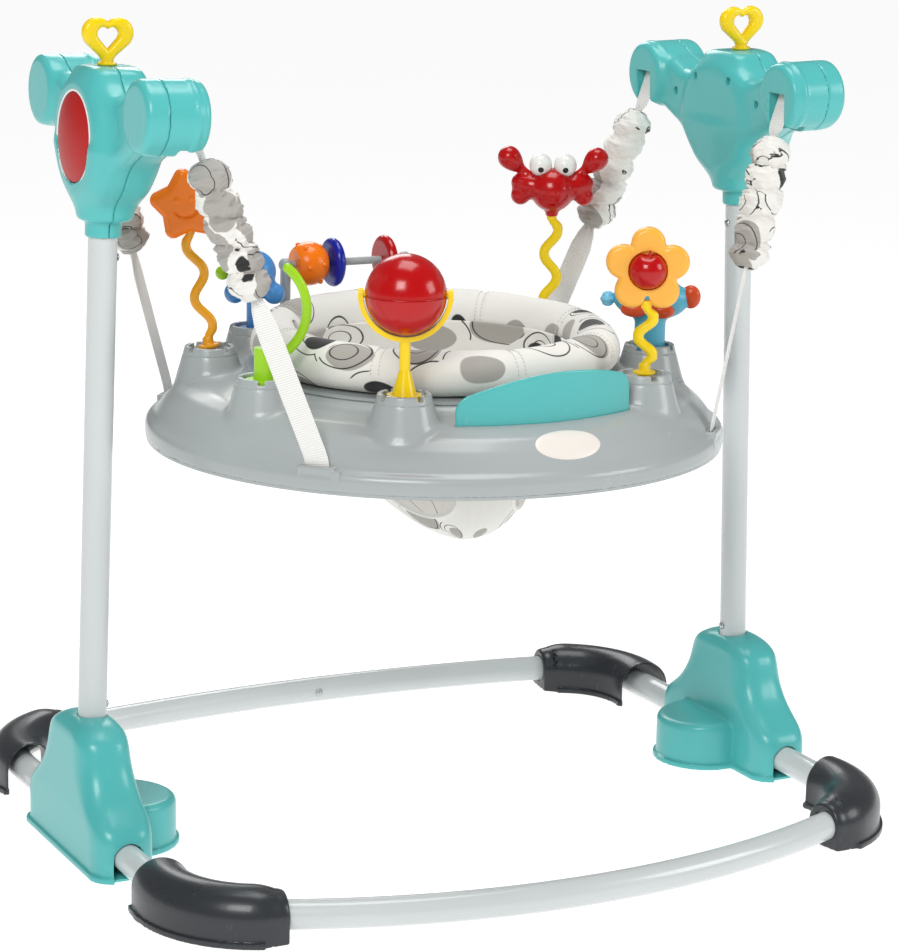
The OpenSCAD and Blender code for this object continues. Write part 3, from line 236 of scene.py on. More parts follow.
# %% Paint and steel
def powder_paint(name, code):
    f = Finish(name, Coat_Weight=0.3, Coat_Roughness=0.1, IOR=1.5)
    drift = f.noise(5.0, 3.0)
    peel = f.noise(160.0, 2.0)
    chips = f.steps(f.noise(46.0, 5.0, rough=0.7), 0.70, 0.73)
    colour = f.mix(drift, ink(code, 0.94), ink(code, 1.05))
    f.feed("Base Color", f.mix(chips * 0.35, colour, ink("#8f9294")))
    f.feed("Roughness", 0.2 + 0.08 * drift + 0.2 * chips)
    f.bump(peel - 0.4 * chips, 0.14, 0.0012)
    return f.material


def bright_steel(name, code):
    f = Finish(name, IOR=2.0)
    streak = f.noise(60.0, 3.0, f.stretched((1.0, 9.0, 1.0)))
    spots = f.steps(f.noise(180.0, 4.0, rough=0.7), 0.62, 0.72)
    f.feed("Base Color", f.mix(spots * 0.5 + streak * 0.3, ink(code), ink("#84888c")))
    f.feed("Metallic", 1.0 - 0.2 * spots)
    f.feed("Roughness", 0.2 + 0.2 * streak + 0.2 * spots)
    f.bump(streak, 0.12, 0.0004)
    return f.material


tube_paint = powder_paint("frame_paint", "#cdd2d2")
steel = bright_steel("steel", "#c3c7ca")
print("paint and steel", tube_paint.name, steel.name)

# %% [markdown]
# ## Webbing and printed cloth
# The straps are woven polyester webbing: ribs across, a finer thread along, and a firm selvedge at
# both edges. The weave has to follow the strap, so it reads the strap's own UV map, laid out in
# metres. The seat and the sleeves are white cotton with a loose print of grey and black pebbles and
# drawn outlines. The pebbles are the cells of a Voronoi texture, bent by a noise. On the seat they
# lie on the cloth's own layout and break at its sewn seams, as a real print does. On the gathered
# sleeves they are cells in space, which need no layout.

# %% Webbing and cloth
RIB, THREAD = 0.0024, 0.0016


def webbing(name):
    f = Finish(name, Sheen_Weight=0.3, Sheen_Roughness=0.4)
    laid = f.node("ShaderNodeUVMap", {"uv_map": "weave"})
    across, along = (f.node("ShaderNodeSeparateXYZ", None, {0: laid}, axis) for axis in "XY")
    rib = (along * (2 * math.pi / RIB) + (across * (2 * math.pi / (2 * THREAD))).sine() * 0.9).sine()
    thread = (across * (2 * math.pi / THREAD)).sine()
    weave = rib * 0.6 + thread * 0.4
    soil = f.noise(18.0, 4.0)
    colour = f.mix(f.steps(weave, -0.9, 0.2), ink("#d2d2ce"), ink("#f4f3f0"))
    f.feed("Base Color", f.mix(f.steps(soil, 0.5, 0.8) * 0.18, colour, ink("#c9c5bb")))
    f.feed("Roughness", 0.66 + 0.14 * soil)
    f.bump(weave, 0.3, 0.0005)
    return f.material


def printed_cloth(name, size, girths, flat, ground="#efede7"):
    f = Finish(name, Sheen_Weight=0.25, Sheen_Roughness=0.5)
    laid = f.node("ShaderNodeUVMap", {"uv_map": "weave"}) if flat else f.place
    bent = f.node("ShaderNodeVectorMath", {"operation": "MULTIPLY_ADD"}, {
        0: f.node("ShaderNodeTexNoise", None, {"Vector": laid, "Scale": 11.0, "Detail": 1.0}, "Color"),
        1: (0.034, 0.034, 0.034), 2: laid})
    shifted = f.node("ShaderNodeVectorMath", {"operation": "ADD"}, {0: bent, 1: (0.006, -0.004, 0.005)})
    cells = {"Scale": 1 / size, "Randomness": 0.72}
    kinds = {"voronoi_dimensions": "2D" if flat else "3D"}
    pebble = f.node("ShaderNodeTexVoronoi", kinds, {"Vector": bent, **cells}, "Distance")
    dice = f.node("ShaderNodeTexVoronoi", kinds, {"Vector": bent, **cells}, "Color")
    drawn = f.node("ShaderNodeTexVoronoi", kinds, {"Vector": shifted, **cells}, "Distance")
    kind, share, lined = (f.node("ShaderNodeSeparateColor", None, {0: dice}, part)
                          for part in ("Red", "Green", "Blue"))
    girth = share * (girths[1] - girths[0]) + girths[0]
    grey_spot = (1 - f.steps(pebble - girth, -0.012, 0.012)) * (kind < 0.56)
    black_spot = (1 - f.steps(pebble - girth * 0.62, -0.012, 0.012)) * (kind > 0.78)
    ring = (1 - f.steps(abs(drawn - girth * 1.12), 0.006, 0.018)) * (lined < 0.62)
    inner_ring = (1 - f.steps(abs(drawn - girth * 0.6), 0.005, 0.016)) * (lined < 0.34)
    wash = f.noise(11.0, 4.0)
    colour = f.mix(wash, ink(ground, 0.93), ink(ground))
    colour = f.mix(grey_spot, colour, ink("#aaa6a0"))
    colour = f.mix(black_spot, colour, ink("#1f1f20"))
    f.feed("Base Color", f.mix(ring.most(inner_ring), colour, ink("#2a2a2b")))
    f.feed("Roughness", 0.74 + 0.12 * wash)
    warp, weft = (f.node("ShaderNodeTexWave", {"bands_direction": way},
                         {"Vector": f.place, "Scale": 380.0, "Distortion": 1.2}) for way in "XZ")
    crease = f.noise(46.0, 5.0, f.stretched((1.0, 1.0, 2.2)), 0.6)
    f.bump(warp * 0.12 + weft * 0.12 + crease, 0.32, 0.0022)
    return f.material


def twisted_thread(name, code):
    f = Finish(name, Sheen_Weight=0.2, Sheen_Roughness=0.4)
    twist = f.noise(900.0, 2.0, f.stretched((1.0, 1.0, 2.5), (0.6, 0.2, 0.4)))
    f.feed("Base Color", f.mix(twist, ink(code, 0.72), ink(code)))
    f.feed("Roughness", 0.55 + 0.2 * twist)
    f.bump(twist, 0.4, 0.0003)
    return f.material


strap_cloth = webbing("webbing")
seat_cloth = printed_cloth("print_cloth", 0.066, (0.26, 0.44), True)
sleeve_cloth = printed_cloth("sleeve_print", 0.046, (0.46, 0.64), False)
thread_white = twisted_thread("seam_thread", "#dcdad3")
print("cloths", strap_cloth.name, seat_cloth.name, sleeve_cloth.name)

# %% [markdown]
# ## Moulding with distance fields
# Moulded shells have no sharp corners: every wall runs into the next through a small radius. Bevels
# on a mesh that has been cut many times break easily. A distance field does not: a solid is a
# function that is negative inside, and two of them are joined, met or cut with a smooth minimum
# whose width is the radius.

# %% Solids as distances
def join(a, b, radius):
    h = np.clip(0.5 + 0.5 * (b - a) / radius, 0, 1)
    return b + (a - b) * h - radius * h * (1 - h)


def meet(a, b, radius):
    return -join(-a, -b, radius)


def cut(a, b, radius=0.8):
    return -join(-a, b, radius)


def rod(across_a, across_b, along, radius, low, high, edge=1.0):
    """A round bar: two coordinates across it, one along it."""
    return meet(np.hypot(across_a, across_b) - radius, np.maximum(low - along, along - high), edge)


def block(x, y, z, low, high, edge=1.0):
    half = [(b - a) / 2 for a, b in zip(low, high)]
    d = [np.abs(v - (a + b) / 2) - h for v, a, b, h in zip((x, y, z), low, high, half)]
    return meet(meet(d[0], d[1], edge), d[2], edge)


def ball(x, y, z, centre, radius):
    return np.sqrt((x - centre[0]) ** 2 + (y - centre[1]) ** 2 + (z - centre[2]) ** 2) - radius


print("a ball of 5 mm is", -ball(0, 0, 0, (0, 0, 0), 5), "mm deep in its middle")

# %% [markdown]
# ## Wrapping a field in quads
# A field has no faces yet. A Remesh modifier would blur every edge by its own grid, so the zero
# surface is wrapped here: one point for each grid cell that it crosses, a quad round each grid line
# that it cuts, and each point pulled onto the surface along its slope.

# %% Wrapping a field
EDGES = [(a, b) for a in range(8) for b in range(a + 1, 8) if bin(a ^ b).count("1") == 1]
CORNER = np.array([[i & 1, i >> 1 & 1, i >> 2 & 1] for i in range(8)])
NUDGE = 0.2


def untangle(inside):
    """Fills a corner wherever only two opposite corners of a square are inside."""
    for _ in range(4):
        for axis in range(3):
            flat = np.moveaxis(inside, axis, 2)
            a, b, c, d = flat[:-1, :-1], flat[1:, :-1], flat[:-1, 1:], flat[1:, 1:]
            first, second = a & d & ~b & ~c, b & c & ~a & ~d
            b |= first
            a |= second
    return inside


def wrap(field, low, high, step):
    """Quads round the zero surface of a field, in millimetres."""
    step = step * 1.0
    axes = [np.arange(a, b + step, step, dtype=np.float32) for a, b in zip(low, high)]
    value = field(*np.meshgrid(*axes, indexing="ij")).astype(np.float32)
    inside = untangle(value < 0)
    value = np.where(inside & (value >= 0), -0.001, value)
    n = np.array(value.shape) - 1
    count = sum(inside[c[0]:c[0] + n[0], c[1]:c[1] + n[1], c[2]:c[2] + n[2]].astype(np.int8)
                for c in CORNER)
    crossed = (count > 0) & (count < 8)
    cell = np.argwhere(crossed)
    number = np.full(crossed.shape, -1, np.int64)
    number[crossed] = np.arange(len(cell))
    corner = np.stack([value[tuple((cell + c).T)] for c in CORNER], 1)
    total, hits = np.zeros((len(cell), 3)), np.zeros((len(cell), 1))
    for a, b in EDGES:
        change = (corner[:, a] < 0) != (corner[:, b] < 0)
        share = np.where(change, corner[:, a] / np.where(change, corner[:, a] - corner[:, b], 1), 0)
        total += change[:, None] * (CORNER[a] + share[:, None] * (CORNER[b] - CORNER[a]))
        hits += change[:, None]
    points = np.array([a[0] for a in axes]) + step * (cell + total / hits)
    quads = []
    for axis in range(3):
        u, v = np.eye(3, dtype=int)[(axis + 1) % 3], np.eye(3, dtype=int)[(axis + 2) % 3]
        first = np.moveaxis(inside, axis, 0)[:-1]
        second = np.moveaxis(inside, axis, 0)[1:]
        edge = np.argwhere(np.moveaxis(first != second, 0, axis))
        edge = edge[np.all((edge * (u + v) >= (u + v)) & (edge * (u + v) < n * (u + v) + (1 - u - v)),
                           axis=1)]
        ring = np.stack([number[tuple((edge - d).T)] for d in (u + v, v, 0 * u, u)], 1)
        leaving = inside[tuple(edge.T)]
        quads += [ring[leaving], ring[~leaving][:, ::-1]]
    quads = np.concatenate(quads)
    return settle(field, points, quads[np.all(quads >= 0, axis=1)], step)


def settle(field, points, quads, step):
    """Evens out the points and pulls them onto the surface."""
    pairs = np.concatenate([quads[:, [i, (i + 1) % 4]] for i in range(4)])
    degree = np.bincount(pairs.ravel(), minlength=len(points))[:, None]
    for turn in range(4):
        if turn < 2:
            near = np.stack([np.bincount(pairs.ravel(), points[pairs[:, ::-1].ravel(), k], len(points))
                             for k in range(3)], 1)
            points = 0.5 * points + 0.5 * near / np.maximum(degree, 1)
        here = field(*points.T)
        slope = np.stack([(field(*(points + d).T) - field(*(points - d).T)) / (2 * NUDGE)
                          for d in NUDGE * np.eye(3)], 1)
        move = -here[:, None] * slope / np.maximum((slope ** 2).sum(1), 0.05)[:, None]
        size = np.linalg.norm(move, axis=1)[:, None]
        points = points + move * np.minimum(1, 0.6 * step / np.maximum(size, 1e-9))
    return points, quads


print("a grid cell has", len(EDGES), "edges")

# %% [markdown]
# ## From points to pieces
# Every piece ends the same way: its points go from millimetres in a handy frame to metres in the
# shared frame, faces are turned over where the frame is a mirror image, the piece is set on the body
# it rides on, the solids that it stands for are hidden, and it takes its finish.

# %% Pieces
TOWER_HALF, TOWER_Y, TUBE_Z, LEAN = 400, 19, 24, math.radians(1.8)
SIDES = {"left": -1, "right": 1}


def mirrored(x_sign, y_sign=1):
    """The middle of the part, with its axes turned over by sign."""
    return Matrix.Translation((0, TOWER_Y, 0)) @ Matrix.Diagonal((x_sign, y_sign, 1, 1))


def leg_frame(side):
    return mirrored(-side) @ Matrix.Translation((-TOWER_HALF, 0, 0))


def tower_frame(side):
    foot = Matrix.Translation((0, 0, TUBE_Z))
    return leg_frame(side) @ foot @ Matrix.Rotation(LEAN, 4, "Y") @ foot.inverted()


TRAY = mirrored(1)
TRAY_R, MOUTH_R, TRAY_FOOT = 313, 197, 417
HUB_R, HUB_Z, PEG_R, POST_AT = 244, 508, 8.5, (75, 232.2)


def hub_frame(angle, turn=-27):
    a = math.radians(angle)
    spot = Matrix.Translation((HUB_R * math.cos(a), HUB_R * math.sin(a) + TOWER_Y, HUB_Z))
    return spot @ Matrix.Rotation(math.radians(turn), 4, "Z")


def piece(name, shape, finish, body, frame_of=None, stands_for=(), uv=None, period=None,
          sharp=40):
    points, faces = np.asarray(shape[0], float), shape[1]
    place = frame_of or Matrix.Identity(4)
    points = points @ np.array(place.to_3x3()).T + np.array(place.translation)
    faces = [list(f) for f in faces]
    if place.determinant() < 0:
        faces = [f[::-1] for f in faces]
    mesh = bpy.data.meshes.new(name)
    mesh.from_pydata(points * MM, [], faces)
    mesh.update()
    if uv is not None:
        layer = mesh.uv_layers.new(name="weave")
        corner = np.zeros(len(mesh.loops), np.int32)
        mesh.loops.foreach_get("vertex_index", corner)
        spots = np.asarray(uv, np.float32)[corner]
        if period is not None:
            first = spots[np.repeat(np.arange(0, len(spots), 4), 4)]
            spots = spots - np.round((spots - first) / period) * period
        layer.data.foreach_set("uv", spots.astype(np.float32).ravel())
    mesh.shade_smooth()
    mesh.set_sharp_from_angle(angle=math.radians(sharp))
    mesh.materials.append(finish)
    made = bpy.data.objects.new(name, mesh)
    bpy.context.scene.collection.objects.link(made)
    return settle_piece(made, body, stands_for)


def settle_piece(made, body, stands_for=()):
    if body:
        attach(made, body)
    if stands_for:
        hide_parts(*stands_for)
    print(made.name, len(made.data.polygons), "faces on", body)
    return made


def finish_node(finish, *names):
    for name in names:
        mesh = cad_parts[name].data
        mesh.materials.clear()
        mesh.materials.append(finish)


# %% [markdown]
# ## Heads of the uprights
# Each upright ends in a teal head: a round body that flows like a funnel into its neck, with two
# arms that end in the strap drums. The head is moulded as two halves that meet in the plane of the
# upright, so the field is made once and cut by that plane, with a hair's gap for the parting line.
# The button's well, the strap windows, the screw holes and the heart's socket are cut where the
# solids have them.

# %% Heads
HEAD_Z, HEAD_TOP, BODY_R, BODY_ROUND = 751, 823, 52, 20
NECK_R, NECK_LOW, STUB_BORE = 29, 667, 15.25
DRUM_Y, DRUM_Z, DRUM_R = 140, 786, 36
BUTTON_BORE, BUTTON_WELL, SOCKET_BORE, SCREW_BORE = 45.9, 49.5, 6.4, 4.1


def head_field(x, y, z):
    far = np.hypot(y, z - HEAD_Z)
    depth = np.where(x < 4, np.maximum(-6 - x, 0) / 28, np.maximum(x - 14, 0) / 24)
    body = (np.hypot(np.maximum(far - BODY_R, 0) / BODY_ROUND, depth) - 1) * BODY_ROUND
    flare = np.clip((z - 684) / 44, 0, 1.3) ** 1.7
    funnel = (np.hypot(y / (NECK_R + 34 * flare), (x - 1.5) / (NECK_R + 4 * flare)) - 1) * NECK_R
    body = join(body, meet(meet(funnel, NECK_LOW - z, 7), z - 742, 12), 14)
    crown_w = 52 - 16 * np.clip((z - 775) / 46, 0, 1)
    crown = meet(meet(np.abs(y) - crown_w, np.abs(x - 2) - 26, 14), np.abs(z - 795) - 26, 8)
    body = join(body, crown, 10)
    ya = np.abs(y)
    top = np.interp(ya, [40, 58, 76, 96, 140], [800, 796, 797, 806, 818])
    low = np.interp(ya, [40, 80, 118, 140], [715, 733, 750, 750])
    arm = meet(meet(np.maximum(z - top, low - z), np.abs(x - 8.5) - 25.5, 14), ya - 150, 10)
    drum = rod(ya - DRUM_Y, z - DRUM_Z, x, DRUM_R, -23, 44, 8)
    bead = np.hypot(np.hypot(ya - DRUM_Y, z - DRUM_Z) - (DRUM_R - 1), x - 30) - 2.6
    body = join(body, join(join(arm, drum, 9), bead, 3), 10)
    body = join(body, rod(x, y, z, 18.5, 650, 672, 3), 5)
    body = cut(body, rod(x, y, z, STUB_BORE, 640, 688.5))
    body = cut(body, np.maximum(far - BUTTON_BORE, x + 30), 0.8)
    body = cut(body, rod(y, z - HEAD_Z, x, BUTTON_WELL, -31.6, -21))
    body = cut(body, block(x, ya, z, (30, DRUM_Y - 15, 700), (60, DRUM_Y + 15, 790), 2), 1.5)
    body = cut(body, block(x, ya, z, (17, DRUM_Y - 16, 743), (41, DRUM_Y + 16, 803), 3), 1)
    body = np.maximum(body, z - HEAD_TOP)
    body = cut(body, rod(x, y, z, SOCKET_BORE, 806, 840))
    for site_y, site_z in ((34, HEAD_Z + 42), (84, DRUM_Z - 14)):
        body = cut(body, rod(ya - site_y, z - site_z, x, SCREW_BORE, 13.8, 60), 1.2)
    return body


def head_half(sign):
    return lambda x, y, z: meet(head_field(x, y, z), sign * x + 0.2, 0.7)


for half, sign, low_x, high_x in (("outer", 1, -46, 4), ("inner", -1, -4, 50)):
    shape = wrap(head_half(sign), (low_x, -182, 644), (high_x, 182, 828), 1.9)
    for word, side in SIDES.items():
        piece(f"head_shell_{half}_{word}", shape, teal, "stand", tower_frame(side), [f"head_{half}_{word}"])

# %% [markdown]
# ## Button rims and heart loops
# A thin pale ring outlines each red button. The heart that tops a head is a thick loop with a
# rounded section, on a neck that turns in the head. Its outline is two round lobes and a point,
# measured as a distance in its own plane.

# %% Button rims and hearts
def heart_distance(u, v, w, drop):
    lobe = 0.29 * w
    u = np.abs(u)
    round_part = np.hypot(u - (w / 2 - lobe), v) - lobe
    run = math.hypot(w / 2 - lobe, drop)
    tilt = math.atan2(drop, w / 2 - lobe) + math.acos(lobe / run) - math.pi
    nx, ny = math.cos(tilt), math.sin(tilt)
    slope = u * nx + (v + drop) * ny
    wedge = np.maximum(slope, v - 0.62 * lobe)
    return np.minimum(round_part, np.maximum(wedge, u - (w / 2 - lobe) - lobe * nx))


HEART_Z, HEART_WIDE, HEART_DROP = HEAD_TOP, 54, 30.24
RIM_R, RIM_HALF, RIM_X = 47.2, 1.3, -33.9


def heart_field(x, y, z):
    v = z - (HEART_Z + 2 + HEART_DROP)
    loop = heart_distance(x, v, HEART_WIDE, HEART_DROP)
    loop = np.maximum(loop, -heart_distance(x, v + 1, 22.7, 15.1))
    loop = meet(loop, np.abs(y) - 6.5, 6)
    loop = join(loop, rod(x, y, z, 6, HEART_Z - 12, HEART_Z + 7), 4)
    return join(loop, rod(x, y, z, 10, HEART_Z + 0.3, HEART_Z + 3.3, 1), 1)


heart_shape = wrap(heart_field, (-31, -12, 807), (31, 12, 874), 1.1)
ring_turn = np.linspace(0, 2 * np.pi, 96, endpoint=False)
ring_bend = np.linspace(0, 2 * np.pi, 10, endpoint=False)
ring_a, ring_b = np.meshgrid(ring_turn, ring_bend, indexing="ij")


def loop_quads(rows, columns, closed=True):
    i, j = np.meshgrid(np.arange(rows if closed else rows - 1), np.arange(columns), indexing="ij")
    i2, j2 = (i + 1) % rows, (j + 1) % columns
    ring, ring2 = i * columns, i2 * columns
    return np.stack([ring + j, ring + j2, ring2 + j2, ring2 + j], -1).reshape(-1, 4)


rim_r = RIM_R + RIM_HALF * np.cos(ring_b)
rim_points = np.stack([RIM_X + 0.9 * np.sin(ring_b), rim_r * np.cos(ring_a),
                       HEAD_Z + rim_r * np.sin(ring_a)], -1)
rim_shape = rim_points.reshape(-1, 3), loop_quads(*ring_a.shape)
for word, side in SIDES.items():
    piece(f"heart_loop_{word}", heart_shape, yellow, f"loop_{word}", tower_frame(side), [f"heart_{word}"])
    piece(f"button_rim_{word}", rim_shape, white, "stand", tower_frame(side))
finish_node(button_red, "button_left", "button_right")
finish_node(foot_dark, "music_module")
finish_node(steel, "head_screws", "anchor_pins")

# %% [markdown]
# ## Leg bases
# A leg base is a bell seen from the side, narrow from the front, with soft shoulders, a low round
# toe towards the seat and a flange round its foot. The bell's half length at each height is read
# from a short list of points and smoothed.

# %% Leg bases
BELL_Z = [0, 40, 48, 57.7, 66, 78, 92, 106, 118, 128, 136, 142, 150]
BELL_Y = [118, 118, 116, 107.4, 95, 82, 72, 66, 63.6, 60, 55, 47, 40]
LEG_TOP, TOE_X, TOE_R, TOE_TOP, BAR_R = 146, 40, 54, 54, 24
RING_BORE, UPRIGHT_BORE = 16, 15.3


def leg_plan(x, y, more):
    """The leg's outline on the floor, a bar with a round toe, grown by a distance."""
    bar = np.hypot(np.maximum(np.abs(x) - 9, 0), np.maximum(np.abs(y) - 94, 0)) - (BAR_R + more)
    return join(bar, np.maximum(np.hypot(x - TOE_X, y) - (TOE_R + more), -x), 1)


def leg_field(x, y, z):
    ya = np.abs(y)
    smooth_z = sum(np.interp(z + d, BELL_Z, BELL_Y) for d in (-6, -3, 0, 3, 6)) / 5
    width = 33 - 5 * np.clip((z - 58) / 88, 0, 1)
    body = meet(np.abs(x) - width, (ya - smooth_z) * 0.8, 26)
    body = meet(body, z - LEG_TOP, 20)
    toe_top = TOE_TOP - 0.05 * (x - TOE_X)
    toe = meet(np.hypot(x - TOE_X, y) - TOE_R, z - toe_top, 9)
    body = join(body, np.maximum(toe, -x), 3)
    body = join(body, meet(leg_plan(x, y, 3.5), z - 6, 2), 2)
    body = np.maximum(body, -z)
    tunnel = np.minimum(np.hypot(x, z - TUBE_Z), np.where(z < TUBE_Z, np.abs(x), 1e3))
    body = cut(body, tunnel - RING_BORE, 1.2)
    lean_x = x - (z - TUBE_Z) * math.tan(LEAN)
    body = cut(body, np.maximum(np.hypot(lean_x, y) - UPRIGHT_BORE, TUBE_Z - z), 0.8)
    return cut(body, np.maximum(leg_plan(x, y, -3), z - 3.4), 0.5)


leg_shape = wrap(leg_field, (-42, -128, -4), (104, 128, 152), 2.2)
for word, side in SIDES.items():
    piece(f"leg_shell_{word}", leg_shape, teal, "stand", leg_frame(side), [f"leg_base_{word}"])
finish_node(teal, "leg_plates")

# %% [markdown]
# ## Corner feet
# Dark hoods cover the ring's four bends. Each is an arched shell swept round the bend. At the leg's
# side it ends in an open arch, and at the bow it draws in to a thick round collar, close about the
# tube. Places along the bend are angles, and a degree there is about 1.75 mm long.

# %% Corner feet
CORNER_R, CORNER_AT = 100, (300, 220, 0)
HOOD_R, HOOD_FROM, HOOD_TO, COLLAR_R, TUBE_BORE = 30, -13, 81, 19.5, 15.5
DEGREE = 1.75


def foot_field(x, y, z):
    u = np.hypot(x, y) - CORNER_R
    angle = np.degrees(np.arctan2(y, x))
    nose = np.clip((angle - 62) / 17, 0, 1)
    girth = HOOD_R - 7 * nose ** 2
    arch = np.where(z > TUBE_Z, np.hypot(u, z - TUBE_Z), np.abs(u))
    start, end = (HOOD_FROM - angle) * DEGREE, (angle - HOOD_TO) * DEGREE
    hood = meet(meet(arch - girth, np.maximum(start, end), 3), -z, 0.5)
    mouth_lift = 2.5 * np.clip((-5 - angle) / 8, 0, 1)
    hollow = np.maximum(arch - (HOOD_R - 3 - 2 * nose + mouth_lift * 0.4), (angle - (HOOD_TO - 8)) * DEGREE)
    hood = cut(hood, hollow, 1)
    collar = np.hypot(np.hypot(u, z - TUBE_Z) - COLLAR_R, (angle - (HOOD_TO - 3)) * DEGREE) - 4.6
    hood = join(hood, np.maximum(collar, -z), 3)
    rim = meet(meet(np.abs(np.abs(u) - 30.2) - 3.2, z - 6, 1.6), np.maximum(start, end + 20), 2)
    hood = join(hood, np.maximum(rim, -z), 1.5)
    return cut(hood, np.hypot(u, z - TUBE_Z) - TUBE_BORE, 0.6)


foot_shape = wrap(foot_field, (-6, -46, -3), (140, 140, 58), 1.6)
for end_word, end in (("front", -1), ("rear", 1)):
    for word, side in SIDES.items():
        corner = mirrored(side, end) @ Matrix.Translation(CORNER_AT)
        piece(f"foot_hood_{end_word}_{word}", foot_shape, foot_dark, "stand", corner,
              [f"foot_{end_word}_{word}"])
finish_node(tube_paint, "front_tube", "head_stubs",
            *(f"{tube}_{word}" for tube in ("rear_tube", "side_tube", "upright") for word in SIDES))
finish_node(steel, "frame_screws")

# %% [markdown]
# ## Tray
# The tray is a domed ring with a soft outer band, a lip round the seat and seven hubs for the toys.
# Its height over each radius comes from a short list, smoothed, and the hubs are cones joined to it
# with a small fillet. The toothed rims that the toys' feet click into, and the pockets that take
# the straps, need a finer grid than so large a shell can have, so each is wrapped once by itself
# and set in place as often as it is needed.

# %% Dome and hubs
DOME_R = [190, 197, 204, 209, 216, 229, 257, 277, 291, 300, 303.5, 309, 313, 320]
DOME_Z = [488, 488, 488, 483, 481, 480, 476, 468, 456, 444.5, 438.5, 436.5, 434, 430]
HUBS = {"star": 153, "figure": 120, "crab": 31, "plane": -12, "flower": -53, "rattle": -124, "arch": -163}
SLOT_ANGLE, SLOT_R = 41, 305
RIM_Z, HUB_FOOT_R, HUB_TAPER, HUB_FOOT_Z = 499, 39, 12, 466
PANEL, PANEL_HALF, PANEL_WIDE = math.radians(-87.5), math.radians(24.5), 103.2
PANEL_R, PANEL_LOW = 249, 464


def dome_height(r):
    return sum(np.interp(r + d, DOME_R, DOME_Z) for d in (-3, -1.5, 0, 1.5, 3)) / 5


def hub_cone(wide, z, low, high):
    rise = np.clip((z - HUB_FOOT_Z) / (HUB_Z - HUB_FOOT_Z), 0, 1)
    cone = wide - (HUB_FOOT_R - HUB_TAPER * rise)
    return meet(cone * 0.95, np.maximum(z - high, low - z), 1.5)


def rim_field(x, y, z):
    """The top of a hub, with its well, its four notches and the bore for a toy's foot."""
    wide = np.hypot(x, y)
    body = cut(hub_cone(wide, z, RIM_Z, HUB_Z), rod(x, y, z, 22, 501.5, 530), 1)
    notch = np.minimum(np.abs(x + y), np.abs(x - y)) * 0.7071 - 3.4
    body = cut(body, np.maximum(np.maximum(notch, 503 - z), np.abs(wide - 25) - 7), 0.6)
    return cut(body, rod(x, y, z, PEG_R, 470, 520))


print("deck at the hubs", round(float(dome_height(HUB_R)), 1), "mm high")


# %% Tray shell
def pocket_field(u, v, z):
    """A block on the band, with a slot for the strap and a lower step beside it."""
    body = block(u, v, z, (-9, -20, 424), (7, 20, 441), 2)
    body = join(body, block(u, v, z, (-7, 18, 424), (7.5, 27, 438), 1.5), 1)
    return cut(body, block(u, v, z, (-2.2, -14.2, 405), (2.2, 14.2, 460), 1))


def hub_place(x, y, angle):
    """Out and along from a hub's axis."""
    a = math.radians(angle)
    return x * math.cos(a) + y * math.sin(a) - HUB_R, -x * math.sin(a) + y * math.cos(a)


def tray_field(x, y, z):
    r = np.hypot(x, y)
    top = meet((z - dome_height(r)) * 0.75, r - TRAY_R, 5)
    body = meet(meet(top, MOUTH_R - r, 3), TRAY_FOOT - z, 1.5)
    for angle in HUBS.values():
        wide = np.hypot(*hub_place(x, y, angle))
        body = join(body, np.maximum(hub_cone(wide, z, 440, RIM_Z + 1), MOUTH_R + 0.5 - r), 5)
    for s in (-1, 1):
        body = join(body, rod(x - s * POST_AT[0], y - POST_AT[1], z, 13.2, 466, 482, 1.5), 2)
    for angle in HUBS.values():
        body = cut(body, rod(*hub_place(x, y, angle), z, PEG_R, 470, 520))
    for s in (-1, 1):
        body = cut(body, rod(x - s * POST_AT[0], y - POST_AT[1], z, PEG_R - 0.1, 455, 500))
        for t in (-1, 1):
            a = math.radians(SLOT_ANGLE)
            u = s * x * math.cos(a) + t * y * math.sin(a) - SLOT_R
            v = t * y * math.cos(a) - s * x * math.sin(a)
            body = cut(body, block(u, v, z, (-4, -16, 405), (4, 16, 460), 1))
    turn = np.arctan2(y, x) - PANEL
    lean_r = PANEL_R - 3 * (z - PANEL_LOW) / 62
    ends = (np.abs(turn) - PANEL_HALF - 0.001) * PANEL_R
    slot = np.maximum(np.maximum(np.abs(r - lean_r - 1.5) - 2.1, ends), PANEL_LOW - 0.3 - z)
    return cut(body, slot, 0.8)


tray_shape = wrap(tray_field, (-318, -318, 412), (318, 318, 514), 2.8)
piece("tray_shell", tray_shape, tray_grey, "tray", TRAY, ["tray_top"])
hub_shape = wrap(rim_field, (-34, -34, 496), (34, 34, 511), 1.0)
for toy, angle in HUBS.items():
    spot = TRAY @ Matrix.Rotation(math.radians(angle), 4, "Z") @ Matrix.Translation((HUB_R, 0, 0))
    piece(f"hub_rim_{toy}", hub_shape, tray_grey, "tray", spot)
pocket_shape = wrap(pocket_field, (-12, -24, 421), (11, 30, 444), 1.0)
for end_word, end in (("front", -1), ("rear", 1)):
    for word, side in SIDES.items():
        spot = mirrored(side, end) @ Matrix.Rotation(math.radians(SLOT_ANGLE), 4, "Z")
        spot = spot @ Matrix.Translation((SLOT_R, 0, 0))
        piece(f"strap_pocket_{end_word}_{word}", pocket_shape, tray_grey, "tray", spot)
finish_node(tray_grey, "tray_bottom", "seat_ring", "play_bar")

# %% [markdown]
# ## Panel
# A teal plate stands in a curved slot between two hubs. It could be a bent plane with thickness,
# but as a field it gets its round corners and soft rim with the same few lines.

# %% Panel
PANEL_TOP, PANEL_FALL, PANEL_PEAK, PANEL_ROUND = 527, 19, 0.15, 12


